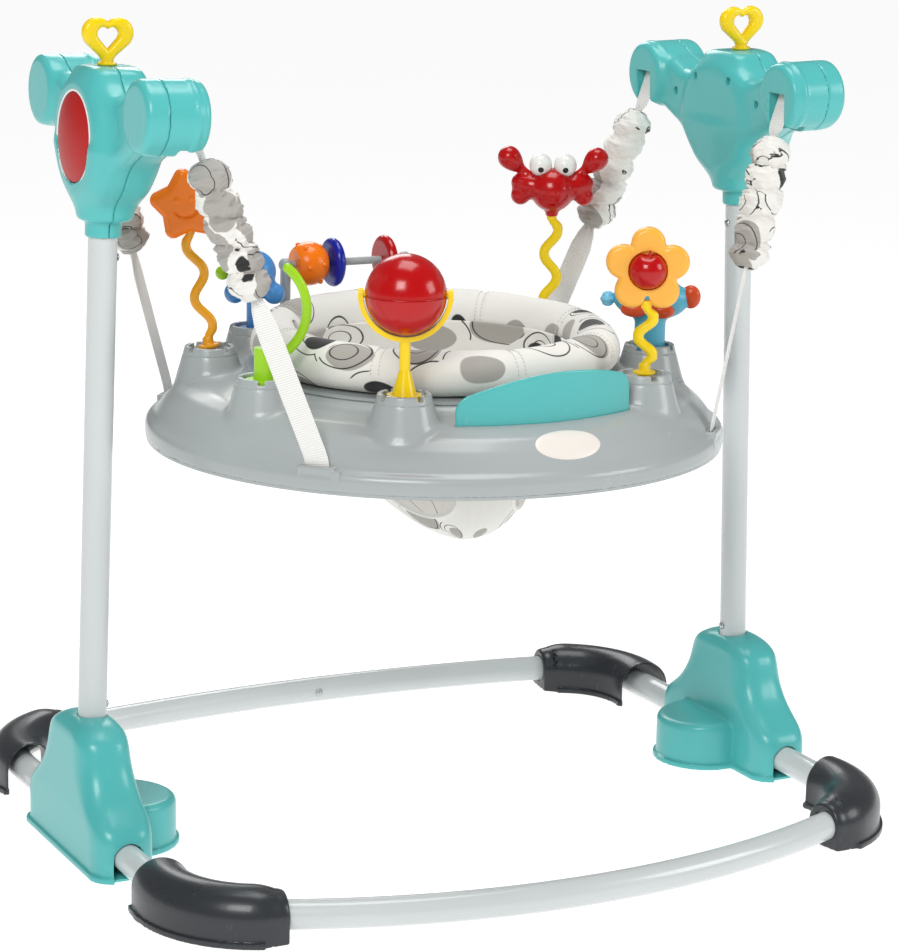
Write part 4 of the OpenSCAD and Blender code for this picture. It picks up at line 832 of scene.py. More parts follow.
def panel_field(x, y, z):
    """A curved plate with two round top corners, whose top edge falls towards the left."""
    r, turn = np.hypot(x, y), np.arctan2(y, x) - PANEL
    across = r * np.sin(turn)
    top = PANEL_TOP - PANEL_FALL * (across / PANEL_WIDE - PANEL_PEAK) ** 2
    side, rise = np.abs(across) - PANEL_WIDE + PANEL_ROUND, z - top + PANEL_ROUND
    corner = np.hypot(np.maximum(side, 0), np.maximum(rise, 0))
    outline = corner + np.minimum(np.maximum(side, rise), 0) - PANEL_ROUND
    plate = np.abs(r - PANEL_R - 1.5 + 3 * (z - PANEL_LOW) / 62) - 1.5
    return meet(meet(plate, outline, 1.6), PANEL_LOW - z, 0.5)


panel_shape = wrap(panel_field, (-112, -258, 460), (116, -218, 530), 1.3)
piece("panel_plate", panel_shape, teal, "tray", TRAY, ["tray_panel"])
finish_node(steel, "tray_screws")

# %% [markdown]
# ## Bare badge
# A thin oval plate lies on the front of the dome. It is left plain. A flat oval would cut into the
# curve, so each of its points is moved along the slope's normal until it meets the dome, and lifted
# by the plate's thickness.

# %% Badge
BADGE_R, BADGE_TURN, BADGE_WIDE, BADGE_HIGH = 285, math.radians(-88.5), 38, 19


def badge_shape(rings=14, spokes=72):
    q, a = np.meshgrid(np.linspace(0.001, 1, rings), np.linspace(0, 2 * np.pi, spokes, endpoint=False),
                       indexing="ij")
    q, a = q[..., None], a[..., None]
    c, s = math.cos(BADGE_TURN), math.sin(BADGE_TURN)
    way, round_way, up = np.array([[c, s, 0], [-s, c, 0], [0, 0, 1]])
    fall, out = 0.76 * way - 0.65 * up, 0.65 * way + 0.76 * up
    points = BADGE_R * way + dome_height(BADGE_R) * up + BADGE_WIDE * q * np.cos(a) * round_way
    points = points - BADGE_HIGH * q * np.sin(a) * fall
    for _ in range(12):
        ground = dome_height(np.hypot(points[..., :1], points[..., 1:2]))
        points = points - 0.8 * out * (points[..., 2:] - ground)
    points = points + out * (1.3 * np.sqrt(np.clip(1 - q ** 10, 0, 1)) - 0.3)
    return points.reshape(-1, 3), loop_quads(rings, spokes, False)[:, ::-1]


piece("badge_plate", badge_shape(), cream, "tray", TRAY)

# %% [markdown]
# ## Straps
# Four webbing straps carry the tray. Each loops over its pin in the drum, comes down bare for a
# hand's breadth, is drawn narrow through the spring and its sleeve, then opens out flat again and
# ends in a slot of the tray's rim. A strap is a ribbon swept along that line. As the seat bounces,
# the top stays with the stand and the foot goes with the tray.

# %% Line of a strap
def tower_point(x, y, z):
    c, s = math.cos(LEAN), math.sin(LEAN)
    return np.array([x * c + (z - TUBE_Z) * s - TOWER_HALF, y, TUBE_Z - x * s + (z - TUBE_Z) * c])


def unit(v):
    return v / np.linalg.norm(v, axis=-1, keepdims=True)


PIN = tower_point(24, -DRUM_Y, 792)
HANG_TOP = tower_point(42, -DRUM_Y, 758)
slot_turn = math.radians(SLOT_ANGLE)
HANG_FOOT = np.array([-SLOT_R * math.cos(slot_turn), -SLOT_R * math.sin(slot_turn), 445.0])
STRAP_END = np.array([HANG_FOOT[0], HANG_FOOT[1], 425.0])
ACROSS_TOP, ACROSS_FOOT = np.array([0, 1.0, 0]), np.array([-math.sin(slot_turn), math.cos(slot_turn), 0])
ALONG = unit(HANG_FOOT - HANG_TOP)
SLEEVE_FROM, SLEEVE_TO = 0.05, 0.48
NARROW, WIDE = 13.0, 26.0


print("free strap", round(float(np.linalg.norm(HANG_FOOT - HANG_TOP)), 1), "mm")


# %% Ribbon of a strap
def strap_shape():
    hang = lambda t: HANG_TOP + (HANG_FOOT - HANG_TOP) * t
    start = PIN + np.array([5.1, 0, 0])
    over_pin = [(start + np.array([-5.1, 0, 5.1]), 0, WIDE), (start + np.array([-1.5, 0, 3.6]), 0, WIDE),
                (start, 0, WIDE), ((start + HANG_TOP) / 2, 0, WIDE), (HANG_TOP, 0, WIDE)]
    in_sleeve = [(hang(0.02), 0, 0.9 * WIDE), (hang(0.045), 0.05, NARROW), (hang(0.26), 0.5, NARROW),
                 (hang(0.485), 0.95, NARROW), (hang(0.51), 1, 0.72 * WIDE), (hang(0.56), 1, 0.97 * WIDE)]
    to_slot = [(hang(0.62), 1, WIDE), (hang(0.98), 1, WIDE),
               (HANG_FOOT - np.array([0, 0, 4.0]), 1, WIDE), (STRAP_END, 1, WIDE)]
    stations = over_pin + in_sleeve + to_slot
    spot = np.array([s[0] for s in stations])
    reach = np.concatenate([[0], np.cumsum(np.linalg.norm(np.diff(spot, axis=0), axis=1))])
    s = np.linspace(0, reach[-1], 150)
    path = np.stack([np.interp(s, reach, spot[:, k]) for k in range(3)], 1)
    path = np.stack([np.convolve(np.pad(path[:, k], 2, "edge"), np.ones(5) / 5, "valid")
                     for k in range(3)], 1)
    turn = np.interp(s, reach, [q[1] for q in stations])[:, None]
    wide = np.interp(s, reach, [q[2] for q in stations])
    run = unit(np.gradient(path, axis=0))
    across = ACROSS_TOP * (1 - turn) + ACROSS_FOOT * turn
    across = unit(across - run * (across * run).sum(1, keepdims=True))
    face = np.cross(run, across)
    lanes = 9
    k = np.concatenate([np.linspace(-1, 1, lanes), np.linspace(1, -1, lanes)])
    top = np.concatenate([np.ones(lanes), -np.ones(lanes)])
    edge = np.clip(1.35 * np.sqrt(np.clip(1 - np.abs(k) ** 6, 0, 1)), 0.45, 1)
    fold = (1 - wide / WIDE)[:, None] * 3.0 * np.cos(2.2 * np.pi * k)[None]
    points = (path[:, None] + across[:, None] * (k[None] * wide[:, None] / 2)[..., None]
              + face[:, None] * (top[None] * edge[None] * 0.8 + fold)[..., None])
    uv = np.stack(np.broadcast_arrays(k[None] * WIDE / 2 * MM, s[:, None] * MM), -1).reshape(-1, 2)
    n, last = len(k), len(s) * len(k)
    faces = [list(q)[::-1] for q in loop_quads(len(s), n, False)]
    ends = [list(range(n)), list(range(last - n, last))[::-1]]
    return points.reshape(-1, 3), faces + ends, uv


# %% Straps in place
def corner_frame(side, end):
    return mirrored(-side, -end)


strap_points, strap_faces, strap_uv = strap_shape()
CORNERS = [(f"{e}_{s}", side, end) for e, end in (("front", -1), ("rear", 1)) for s, side in SIDES.items()]
for word, side, end in CORNERS:
    strap = piece(f"strap_web_{word}", (strap_points, strap_faces), strap_cloth, None,
                  corner_frame(side, end), uv=strap_uv, sharp=70)
    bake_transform(strap)
    settle_piece(strap, None, [f"strap_{word}"])

# %% [markdown]
# ## Sleeves and springs
# A printed sleeve hides each spring. It is longer than the spring, so it gathers into slanting
# folds. Both follow a path, which is what Geometry Nodes do well: the spring's wire is a round
# profile swept along a coil, and the sleeve is a circle swept along the strap's line, whose radius
# waves along its length, with a noise that folds it further.

# %% Tree helpers
def geometry_tree(name, inputs):
    tree = bpy.data.node_groups.new(name, "GeometryNodeTree")
    tree.interface.new_socket("Geometry", in_out="INPUT", socket_type="NodeSocketGeometry")
    for label, kind in inputs.items():
        tree.interface.new_socket(label, in_out="INPUT", socket_type=kind)
    tree.interface.new_socket("Geometry", in_out="OUTPUT", socket_type="NodeSocketGeometry")
    graph = Graph(tree)
    return graph, {s.name: s for s in graph.tree.nodes.new("NodeGroupInput").outputs}


def close_tree(graph, mesh, finish):
    whole = graph.node("GeometryNodeRealizeInstances", None, {"Geometry": mesh})
    dyed = graph.node("GeometryNodeSetMaterial", None, {"Geometry": whole, "Material": finish})
    end = graph.tree.nodes.new("NodeGroupOutput")
    graph.tree.links.new(dyed.socket, end.inputs[0])


def grow(name, tree, paths_mm, values, place=None, closed=False):
    """Runs a tree on paths of points and returns the plain mesh object that it makes."""
    curve = bpy.data.curves.new(name + "_path", "CURVE")
    curve.dimensions = "3D"
    place = place or Matrix.Identity(4)
    for path in paths_mm:
        line = curve.splines.new("POLY")
        line.points.add(len(path) - 1)
        for spot, p in zip(line.points, path):
            spot.co = (*(MM * (place @ Vector(p))), 1)
        line.use_cyclic_u = closed
    start = bpy.data.objects.new(name + "_path", curve)
    bpy.context.scene.collection.objects.link(start)
    modifier = start.modifiers.new("grow", "NODES")
    modifier.node_group = tree
    for item in tree.interface.items_tree:
        if item.in_out == "INPUT" and item.name in values:
            modifier[item.identifier] = values[item.name]
    ready = start.evaluated_get(bpy.context.evaluated_depsgraph_get())
    mesh = bpy.data.meshes.new_from_object(ready)
    mesh.name = name
    made = bpy.data.objects.new(name, mesh)
    bpy.context.scene.collection.objects.link(made)
    bpy.data.objects.remove(start)
    mesh.shade_smooth()
    return made


def thicken(made, wall):
    """Gives a sheet its cloth's thickness as a finished mesh."""
    modifier = made.modifiers.new("cloth", "SOLIDIFY")
    modifier.thickness, modifier.offset = wall, 0
    mesh = bpy.data.meshes.new_from_object(made.evaluated_get(bpy.context.evaluated_depsgraph_get()))
    made.modifiers.clear()
    made.data = mesh


# %% [markdown]
# ## Spring wire and gathered cloth
# The wire's tree needs only its radius. The sleeve's tree marks each point with its place along the
# strap and around it, and pushes it out along the normal: five round gathers, slanting pleats on
# them and two noises. The seed makes each of the four sleeves crumple in its own way.

# %% Spring and sleeve trees
def wire_tree():
    g, given = geometry_tree("spring_wire", {"Wire": "NodeSocketFloat"})
    profile = g.node("GeometryNodeCurvePrimitiveCircle", None,
                     {"Resolution": 10, "Radius": Wire(g, given["Wire"])})
    mesh = g.node("GeometryNodeCurveToMesh", None,
                  {"Curve": Wire(g, given["Geometry"]), "Profile Curve": profile, "Fill Caps": True})
    close_tree(g, mesh, steel)
    return g.tree


def sleeve_tree():
    g, given = geometry_tree("gathered_sleeve", {"Radius": "NodeSocketFloat", "Gather": "NodeSocketFloat",
                                                 "Neck": "NodeSocketFloat", "Folds": "NodeSocketFloat",
                                                 "Seed": "NodeSocketFloat"})
    take = {k: Wire(g, v) for k, v in given.items()}
    line = g.node("GeometryNodeResampleCurve", None, {"Curve": take["Geometry"], "Count": 190})
    t = g.node("GeometryNodeSplineParameter", None, None, "Factor")
    marked = g.node("GeometryNodeStoreNamedAttribute", {"data_type": "FLOAT", "domain": "POINT"},
                    {"Geometry": line, "Name": "along", "Value": t})
    profile = g.node("GeometryNodeCurvePrimitiveCircle", None, {"Resolution": 72, "Radius": take["Neck"]})
    turned = g.node("GeometryNodeStoreNamedAttribute", {"data_type": "FLOAT", "domain": "POINT"},
                    {"Geometry": profile, "Name": "around",
                     "Value": g.node("GeometryNodeSplineParameter", None, None, "Factor")})
    tube = g.node("GeometryNodeCurveToMesh", None, {"Curve": marked, "Profile Curve": turned})
    t = g.node("GeometryNodeInputNamedAttribute", {"data_type": "FLOAT"}, {"Name": "along"})
    share = g.node("GeometryNodeInputNamedAttribute", {"data_type": "FLOAT"}, {"Name": "around"})
    a = share * (2 * math.pi)
    pinch = (t * 11.0).least((1 - t) * 11.0).least(1.0).most(0.0) ** 0.5
    cos_a = (a + math.pi / 2).sine()
    spot = g.node("ShaderNodeCombineXYZ", None, {0: cos_a * 0.55, 1: a.sine() * 0.55, 2: t * take["Folds"]})
    fold = g.node("ShaderNodeTexNoise", {"noise_dimensions": "4D"},
                  {"Vector": spot, "W": take["Seed"], "Scale": 1.0, "Detail": 2.0})
    fine = g.node("ShaderNodeTexNoise", {"noise_dimensions": "4D"},
                  {"Vector": spot, "W": take["Seed"] + 7.3, "Scale": 3.1, "Detail": 2.0})
    wave = abs((t * (math.pi * 5) + a.sine() * 0.55 + (fold - 0.5) * 2.2).sine()) ** 0.7
    pleat = abs((a * 4.0 + t * 9.0 + (fold - 0.5) * 9.0).sine())
    puff = 1.9 * wave - 1.1 + (fold - 0.5) * 2.4 + (fine - 0.5) * 1.4 - 0.45 * pleat
    lift = (take["Radius"] + take["Gather"] * puff - take["Neck"]) * pinch
    push = g.node("ShaderNodeVectorMath", {"operation": "SCALE"},
                  {0: g.node("GeometryNodeInputNormal"), "Scale": lift})
    mesh = g.node("GeometryNodeSetPosition", None, {"Geometry": tube, "Offset": push})
    close_tree(g, mesh, sleeve_cloth)
    return g.tree


spring_tree, cover_tree = wire_tree(), sleeve_tree()
print("trees", spring_tree.name, cover_tree.name)

# %% [markdown]
# ## Springs and sleeves in place
# One coil and one line are drawn for the front left strap, and mirrored for the other three. Both
# stretch with the strap when the seat bounces.

# %% Springs and sleeves in place
side_u = unit(np.cross(ALONG, [0, 1, 0]))
side_v = np.cross(ALONG, side_u)


def hang_line(t):
    return HANG_TOP + (HANG_FOOT - HANG_TOP) * np.asarray(t)[..., None]


COIL_TURNS, COIL_R, COIL_INSET = 12, 10, 0.03
coil_t = np.linspace(0, 1, COIL_TURNS * 20 + 1)
coil_a = coil_t[:, None] * COIL_TURNS * 2 * np.pi
coil_axis = hang_line(SLEEVE_FROM + COIL_INSET + coil_t * (SLEEVE_TO - SLEEVE_FROM - 2 * COIL_INSET))
coil_path = coil_axis + COIL_R * (side_u * np.cos(coil_a) + side_v * np.sin(coil_a))
sleeve_path = hang_line(np.linspace(SLEEVE_FROM, SLEEVE_TO, 24))
for number, (word, side, end) in enumerate(CORNERS):
    spring = grow(f"spring_{word}", spring_tree, [coil_path], {"Wire": 0.001}, corner_frame(side, end))
    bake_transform(spring)
    sleeve = grow(f"sleeve_cover_{word}", cover_tree, [sleeve_path],
                  {"Radius": 0.0196, "Gather": 0.0034, "Neck": 0.0085, "Folds": 15.0, "Seed": 3.7 * number},
                  corner_frame(side, end))
    thicken(sleeve, 0.0008)
    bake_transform(sleeve)
    settle_piece(sleeve, None, [f"sleeve_{word}"])
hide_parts("suspension_springs")

# %% [markdown]
# ## Seat pad
# The rim of the seat is a stuffed roll in eight sewn divisions, higher at the back. It is built as
# a closed grid, and a short cloth simulation blows it up against its seams, which are pinned, so
# the cloth puckers beside them as a real roll does. How far a point may travel is capped, and its
# underside stays on the ring.

# %% Seat pad
PAD_R, PAD_HALF, PAD_Z, BACK_RISE = 174, 26, 512.5, 9
AROUND, SECTION = 288, 44
LEDGE_TOP = 491.3
pad_turn = np.linspace(0, 2 * np.pi, AROUND, endpoint=False)
pad_bend = np.linspace(0, 2 * np.pi, SECTION, endpoint=False)
pad_a, pad_b = np.meshgrid(pad_turn, pad_bend, indexing="ij")
seam_near = np.abs((np.degrees(pad_a) + 22.5) % 45 - 22.5)


def pad_points():
    rise = BACK_RISE * (1 + np.sin(pad_a)) / 2
    dip = 1 - 0.10 * np.exp(-(seam_near / 1.6) ** 2)
    high = np.where(np.sin(pad_b) > 0, PAD_HALF + rise, PAD_HALF * 0.8) * dip
    r = PAD_R + PAD_HALF * dip * np.cos(pad_b)
    lump = 0.6 * np.sin(9 * pad_a + 2 * np.sin(2 * pad_b)) * np.sin(pad_b)
    z = PAD_Z + (high + lump) * np.sin(pad_b)
    return np.stack([r * np.cos(pad_a), r * np.sin(pad_a) + TOWER_Y, z], -1).reshape(-1, 3)


# %% Stuffing
def stuff(made, pinned, rest_mm, cap):
    """Blows a closed cloth up for twenty frames and keeps each point within its cap."""
    group = made.vertex_groups.new(name="seams")
    group.add([int(i) for i in np.nonzero(pinned)[0]], 1.0, "REPLACE")
    cloth = made.modifiers.new("stuffing", "CLOTH")
    cloth.settings.use_pressure = True
    cloth.settings.uniform_pressure_force = 9.0
    cloth.settings.effector_weights.gravity = 0
    cloth.settings.vertex_group_mass = "seams"
    cloth.settings.tension_stiffness = cloth.settings.compression_stiffness = 6
    cloth.settings.quality = 4
    cloth.collision_settings.use_collision = False
    scene = bpy.context.scene
    for step in range(1, 21):
        scene.frame_set(step)
    ready = made.evaluated_get(bpy.context.evaluated_depsgraph_get())
    blown = np.empty(len(ready.data.vertices) * 3)
    ready.data.vertices.foreach_get("co", blown)
    made.modifiers.remove(cloth)
    made.vertex_groups.clear()
    scene.frame_set(1)
    move = blown.reshape(-1, 3) / MM - rest_mm
    size = np.linalg.norm(move, axis=1, keepdims=True)
    return rest_mm + move * np.minimum(1, cap / np.maximum(size, 1e-9))


# %% Seat roll
pad_rest = pad_points()
pad_cut = np.array([PAD_R, PAD_HALF]) * MM
pad_uv = np.stack([pad_a, (pad_b + np.pi / 2) % (2 * np.pi)], -1).reshape(-1, 2) * pad_cut
pad = piece("seat_roll", (pad_rest, loop_quads(AROUND, SECTION)[:, ::-1]), seat_cloth, None, uv=pad_uv,
            period=2 * np.pi * pad_cut, sharp=180)
pad_final = stuff(pad, (seam_near < 0.7).ravel(), pad_rest, 7)
pad_final[:, 2] = np.maximum(pad_final[:, 2], LEDGE_TOP + 0.5)
pad.data.vertices.foreach_set("co", (pad_final * MM).ravel())
pad.data.update()
subdivide = pad.modifiers.new("smooth", "SUBSURF")
subdivide.levels = subdivide.render_levels = 1
settle_piece(pad, "seat", ["seat_pad"])

# %% [markdown]
# ## Seat bucket
# The bucket hangs from the ring inside the roll and narrows to the crotch, with a round hole for
# each leg. It is a lathed sheet with soft vertical folds. The holes are opened by leaving out the
# faces inside them and drawing the torn edge onto a true circle, and a rolled hem follows each
# edge. The cloth that it was cut from is a band under the roll and a bowl below it, less the two
# holes.

# %% Curve of the bag
BUCKET_R, BUCKET_Z, BUCKET_DEPTH, HOLE_R, HOLE_Z = 147.2, 316, 130, 50, 400
BOWL, FORWARD = 1.9, 80
hole_ways = [math.radians(-90 + s * 48) for s in (-1, 1)]


def hang_forward(points):
    """The front of the bag carries the legs, so its low part hangs in front of the middle."""
    low = np.clip((BUCKET_Z + BUCKET_DEPTH - points[:, 2]) / BUCKET_DEPTH, 0, 1)
    return points - np.outer(FORWARD * low ** 1.3, [0, 1, 0])


def bucket_point(q, a):
    """q runs from 0 at the bottom to 1 at the curve's top, and on to 1.5 at the roll."""
    bowl = np.minimum(q, 1)
    r = (BUCKET_R - 1.5) * bowl
    band = PAD_Z + 1 - BUCKET_Z - BUCKET_DEPTH
    z = BUCKET_Z + 1.5 + BUCKET_DEPTH * bowl ** BOWL + np.maximum(q - 1, 0) * 2 * band
    fade = np.clip(q * 1.5 - 0.3, 0, 1) * np.clip((1.45 - q) * 3, 0, 1)
    fold = 1.3 * np.sin(17 * a + 3 * np.sin(3 * a)) * fade
    sag = 2.0 * np.sin(5 * a + 1.3) * np.sin(np.pi * bowl) ** 2
    r = r - np.abs(fold) - np.abs(sag) * 0.6
    return np.stack([r * np.cos(a), r * np.sin(a) + TOWER_Y, z + sag * 0.3], -1)


def hole_place(points, way):
    """Across and up from a leg hole's axis, and out along it."""
    x, y, z = points[..., 0], points[..., 1] - TOWER_Y, points[..., 2]
    return -x * math.sin(way) + y * math.cos(way), z - HOLE_Z, x * math.cos(way) + y * math.sin(way)


def surface_spot(across, up, way):
    """The bucket's point straight above or below a height, at a distance across from a hole's axis."""
    z = np.clip(HOLE_Z + up, BUCKET_Z + 3, PAD_Z)
    bowl = np.clip((z - BUCKET_Z - 1.5) / BUCKET_DEPTH, 1e-4, 1) ** (1 / BOWL)
    r = np.maximum((BUCKET_R - 1.5) * bowl, np.abs(across) + 1)
    out = np.sqrt(r ** 2 - across ** 2)
    return np.stack([out * math.cos(way) - across * math.sin(way),
                     out * math.sin(way) + across * math.cos(way) + TOWER_Y, z], -1)


# %% Bag with its leg holes
def bucket_shape(rows=84, columns=216):
    q, a = np.meshgrid(np.linspace(0.02, 1.5, rows), np.linspace(0, 2 * np.pi, columns, endpoint=False),
                       indexing="ij")
    points = bucket_point(q, a).reshape(-1, 3)
    quads = loop_quads(rows, columns, False)
    inside = np.zeros(len(points), bool)
    for way in hole_ways:
        across, up, out = hole_place(points, way)
        inside |= (np.hypot(across, up) < HOLE_R) & (out > 30)
    keep = quads[~np.all(inside[quads], axis=1)]
    edge_points = np.unique(keep[inside[keep]])
    for way in hole_ways:
        across, up, out = hole_place(points[edge_points], way)
        near = (np.hypot(across, up) < HOLE_R) & (out > 30)
        spots = edge_points[near]
        stretch = HOLE_R / np.maximum(np.hypot(across, up)[near], 1e-6)
        wider, higher = across[near] * stretch, up[near] * stretch
        points[spots] = surface_spot(wider, higher, way)
    centre = len(points)
    points = np.vstack([points, [[0, TOWER_Y, BUCKET_Z + 1.4]]])
    used = np.unique(keep)
    cap = [[j, centre, (j + 1) % columns] for j in range(columns)]
    renumber = np.full(len(points), -1)
    wanted = np.append(used, centre)
    renumber[wanted] = np.arange(len(wanted))
    uv = np.append(np.stack([a * 110, q * 190], -1).reshape(-1, 2), [[0, 0]], axis=0) * MM
    faces = [list(renumber[f]) for f in keep[:, ::-1]] + [list(renumber[f])[::-1] for f in cap]
    return hang_forward(points[wanted]), faces, uv[wanted]


# %% Seat bag
bucket_points, bucket_faces, bucket_uv = bucket_shape()
bucket = piece("seat_bag", (bucket_points, bucket_faces), seat_cloth, None, uv=bucket_uv, sharp=180)
wall = bucket.modifiers.new("cloth", "SOLIDIFY")
wall.thickness, wall.offset = 0.0022, 0
settle_piece(bucket, "seat", ["seat_bucket"])

# %% [markdown]
# ## Hems and stitches
# A rolled hem closes each leg hole, and a row of stitches holds the roll along each of its seams.
# Stitches repeat along a path, so a tree strings them: the path is cut to the stitch length and a
# small pill stands on every point.

# %% Stitches
def stitch_tree():
    g, given = geometry_tree("stitch_row", {"Pitch": "NodeSocketFloat", "Length": "NodeSocketFloat",
                                            "Girth": "NodeSocketFloat"})
    take = {k: Wire(g, v) for k, v in given.items()}
    spots = g.node("GeometryNodeCurveToPoints", {"mode": "LENGTH"},
                   {"Curve": take["Geometry"], "Length": take["Pitch"]})
    turns = spots.graph.tree.nodes[-1].outputs["Rotation"]
    pill = g.node("GeometryNodeMeshUVSphere", None, {"Segments": 6, "Rings": 4, "Radius": 0.5})
    size = g.node("ShaderNodeCombineXYZ", None, {0: take["Girth"], 1: take["Girth"], 2: take["Length"]})
    rows = g.node("GeometryNodeInstanceOnPoints", None,
                  {"Points": spots, "Instance": pill, "Rotation": Wire(g, turns), "Scale": size})
    close_tree(g, rows, thread_white)
    return g.tree


# %% Hems
def hem_tree():
    g, given = geometry_tree("rolled_hem", {"Girth": "NodeSocketFloat"})
    profile = g.node("GeometryNodeCurvePrimitiveCircle", None,
                     {"Resolution": 12, "Radius": Wire(g, given["Girth"])})
    mesh = g.node("GeometryNodeCurveToMesh", None,
                  {"Curve": Wire(g, given["Geometry"]), "Profile Curve": profile})
    close_tree(g, mesh, seat_cloth)
    return g.tree


stitch_row, rolled_hem = stitch_tree(), hem_tree()
hem_turn = np.linspace(0, 2 * np.pi, 90, endpoint=False)
for word, way in zip(("left", "right"), hole_ways):
    path = hang_forward(surface_spot(HOLE_R * np.cos(hem_turn), HOLE_R * np.sin(hem_turn), way))
    hem = grow(f"leg_hem_{word}", rolled_hem, [path], {"Girth": 0.0028}, closed=True)
    settle_piece(hem, "seat")
seam_rows = []
for seam in range(0, AROUND, AROUND // 8):
    for beside in (-1, 1):
        row = pad_final.reshape(AROUND, SECTION, 3)[(seam + beside) % AROUND, 1:SECTION // 2]
        seam_rows.append(row + 0.3 * np.sign(row - PAD_Z) * [0, 0, 1])
stitches = grow("roll_stitches", stitch_row, seam_rows,
                {"Pitch": 0.0042, "Length": 0.0030, "Girth": 0.0011})
settle_piece(stitches, "seat")

# %% [markdown]
# ## Toys
# The toys are soft moulded shapes, so they use the fields again: a five-pointed star, a crab with
# two claws, a flower with an apple, a little plane and a round blue figure. Each is drawn about its
# hub with heights from the hub's top.

# %% Star
STAR_Z, STAR_REACH, STAR_WAIST, STAR_ROUND = 153.96, 30.5, 0.62, 9
CRAB_Z, CRAB_R, CRAB_EYE = 149, 25, (14, -2, 28)
FLOWER_Z, FLOWER_R, PETAL_R, APPLE_R = 108.24, 27, 18, 20


def star_distance(u, v, reach, waist):
    """Distance from a five-pointed star: its plane is folded until one half of one point is left."""
    u = np.abs(u)
    c, s = math.cos(math.radians(36)), math.sin(math.radians(36))
    for nu, nv in ((c, -s), (-c, -s)):
        over = np.maximum(u * nu + v * nv, 0)
        u, v = u - 2 * over * nu, v - 2 * over * nv
    u, v = np.abs(u), v - reach
    side_u, side_v = waist * s, waist * c - 1
    along = np.clip((u * side_u + v * side_v) / (side_u ** 2 + side_v ** 2), 0, reach)
    return np.hypot(u - side_u * along, v - side_v * along) * np.sign(v * side_u - u * side_v)


def star_field(x, y, z):
    z = z - STAR_Z
    body = meet(star_distance(x, z, STAR_REACH, STAR_WAIST) - STAR_ROUND, np.abs(y) - 10, 9)
    smile = np.maximum(np.hypot(np.hypot(x, z - 2) - 14, y + 9.6) - 1.3, z + 4)
    body = cut(body, smile, 0.8)
    for s in (-1, 1):
        body = join(body, ball(x, y, z, (8 * s, -8.2, 7), 3.2), 0.8)
    return cut(body, rod(x, y, z, 4.8, -60, -11))


# %% Crab
def crab_field(x, y, z):
    z = z - CRAB_Z
    xa = np.abs(x)
    body = ball(x, y, z, (0, 0, 0), CRAB_R)
    body = join(body, rod(x, y, z, 7, -30, -16, 2), 5)
    for spot, r in (((24, 0, 4), 14), ((36, 2, 7), 11), ((36, 2, -7), 11)):
        body = join(body, ball(xa, y, z, spot, r), 5)
    along = np.clip(((xa - 22) * 28 + (z - 12) * 24) / (28 ** 2 + 24 ** 2), 0, 1)
    arm = np.sqrt((xa - 22 - 28 * along) ** 2 + y ** 2 + (z - 12 - 24 * along) ** 2) - 4.5
    claw = join(ball(xa, y, z, (50, 0, 36), 13), ball(xa, y, z, (41, 0, 27), 6), 12)
    body = join(body, join(arm, claw, 3), 5)
    line = np.maximum(np.abs(np.hypot(x, z - 2) - 17) - 0.9, z + 3)
    body = cut(body, np.maximum(line, np.maximum(y, -body - 1.4)), 0.8)
    body = cut(body, ball(xa, y, z, CRAB_EYE, 13.1), 0.6)
    return cut(body, rod(x, y, z, 4.8, -60, -17.8))


# %% [markdown]
# ## Wavy stems
# The star, the crab and the flower sway on soft stems that wave from side to side. A bent curve
# with a round profile would do, but a field runs smoothly into the ball and the collar at its foot.
# The star leans to one side at rest, about the ball that it turns on.

# %% Wavy stems
BALL_Z, STEM_FOOT, STEM_SWAY, STAR_LEAN = -8, 8, 7.5, 9


def stem_field(half_wave, first, top, across, deep):
    """A stem that waves from side to side between foot and head, on a ball with a collar."""
    def field(x, y, z):
        phase = np.pi * (np.clip(z, STEM_FOOT, top) - STEM_FOOT) / half_wave
        inner = np.clip((top - z) / 6, 0, 1) * np.clip((z - STEM_FOOT) / 6, 0, 1)
        slope = inner * STEM_SWAY * np.pi / half_wave * np.cos(phase)
        aside = (x - first * STEM_SWAY * np.sin(phase)) / np.sqrt(1 + slope ** 2)
        round_bar = (np.hypot(aside / across, y / deep) - 1) * min(across, deep)
        body = meet(round_bar, np.maximum(-z, z - top - 8), 1)
        body = join(body, rod(x, y, z, 12, -1.5, 1.5, 1), 1.5)
        body = join(body, rod(x, y, z, 5.2, BALL_Z, STEM_FOOT), 3)
        return join(body, ball(x, y, z, (0, 0, BALL_Z), 8), 1)
    return field


ball_spot = Matrix.Translation((0, 0, BALL_Z))
lean = ball_spot @ Matrix.Rotation(math.radians(-STAR_LEAN), 4, "Y") @ ball_spot.inverted()
star_spot = hub_frame(HUBS["star"]) @ lean
crab_spot, flower_spot = hub_frame(HUBS["crab"]), hub_frame(HUBS["flower"])
STEMS = [("star", amber, "amber_plastic", star_spot, (29, 1, 124, 5.0, 4.6)),
         ("crab", yellow, "yellow_plastic", crab_spot, (27, -1, 116, 5.6, 4.8)),
         ("flower", yellow, "yellow_plastic", flower_spot, (20, 1, 68, 5.6, 5.6))]
for toy, finish, slot, spot, sizes in STEMS:
    stem_shape = wrap(stem_field(*sizes), (-20, -14, -18), (20, 14, sizes[2] + 11), 1.2)
    piece(f"{toy}_stem_wave", stem_shape, finish, toy, spot, [f"{toy}_stem"])

# %% Star and crab in place
piece("star_face", wrap(star_field, (-46, -13, 108), (46, 13, 200), 1.3), orange, "star", star_spot,
      ["star_head"])


def pupil_field(x, y, z):
    return ball(np.abs(x), y, z, (CRAB_EYE[0], -12.6, CRAB_Z + 24.4), 3.6)


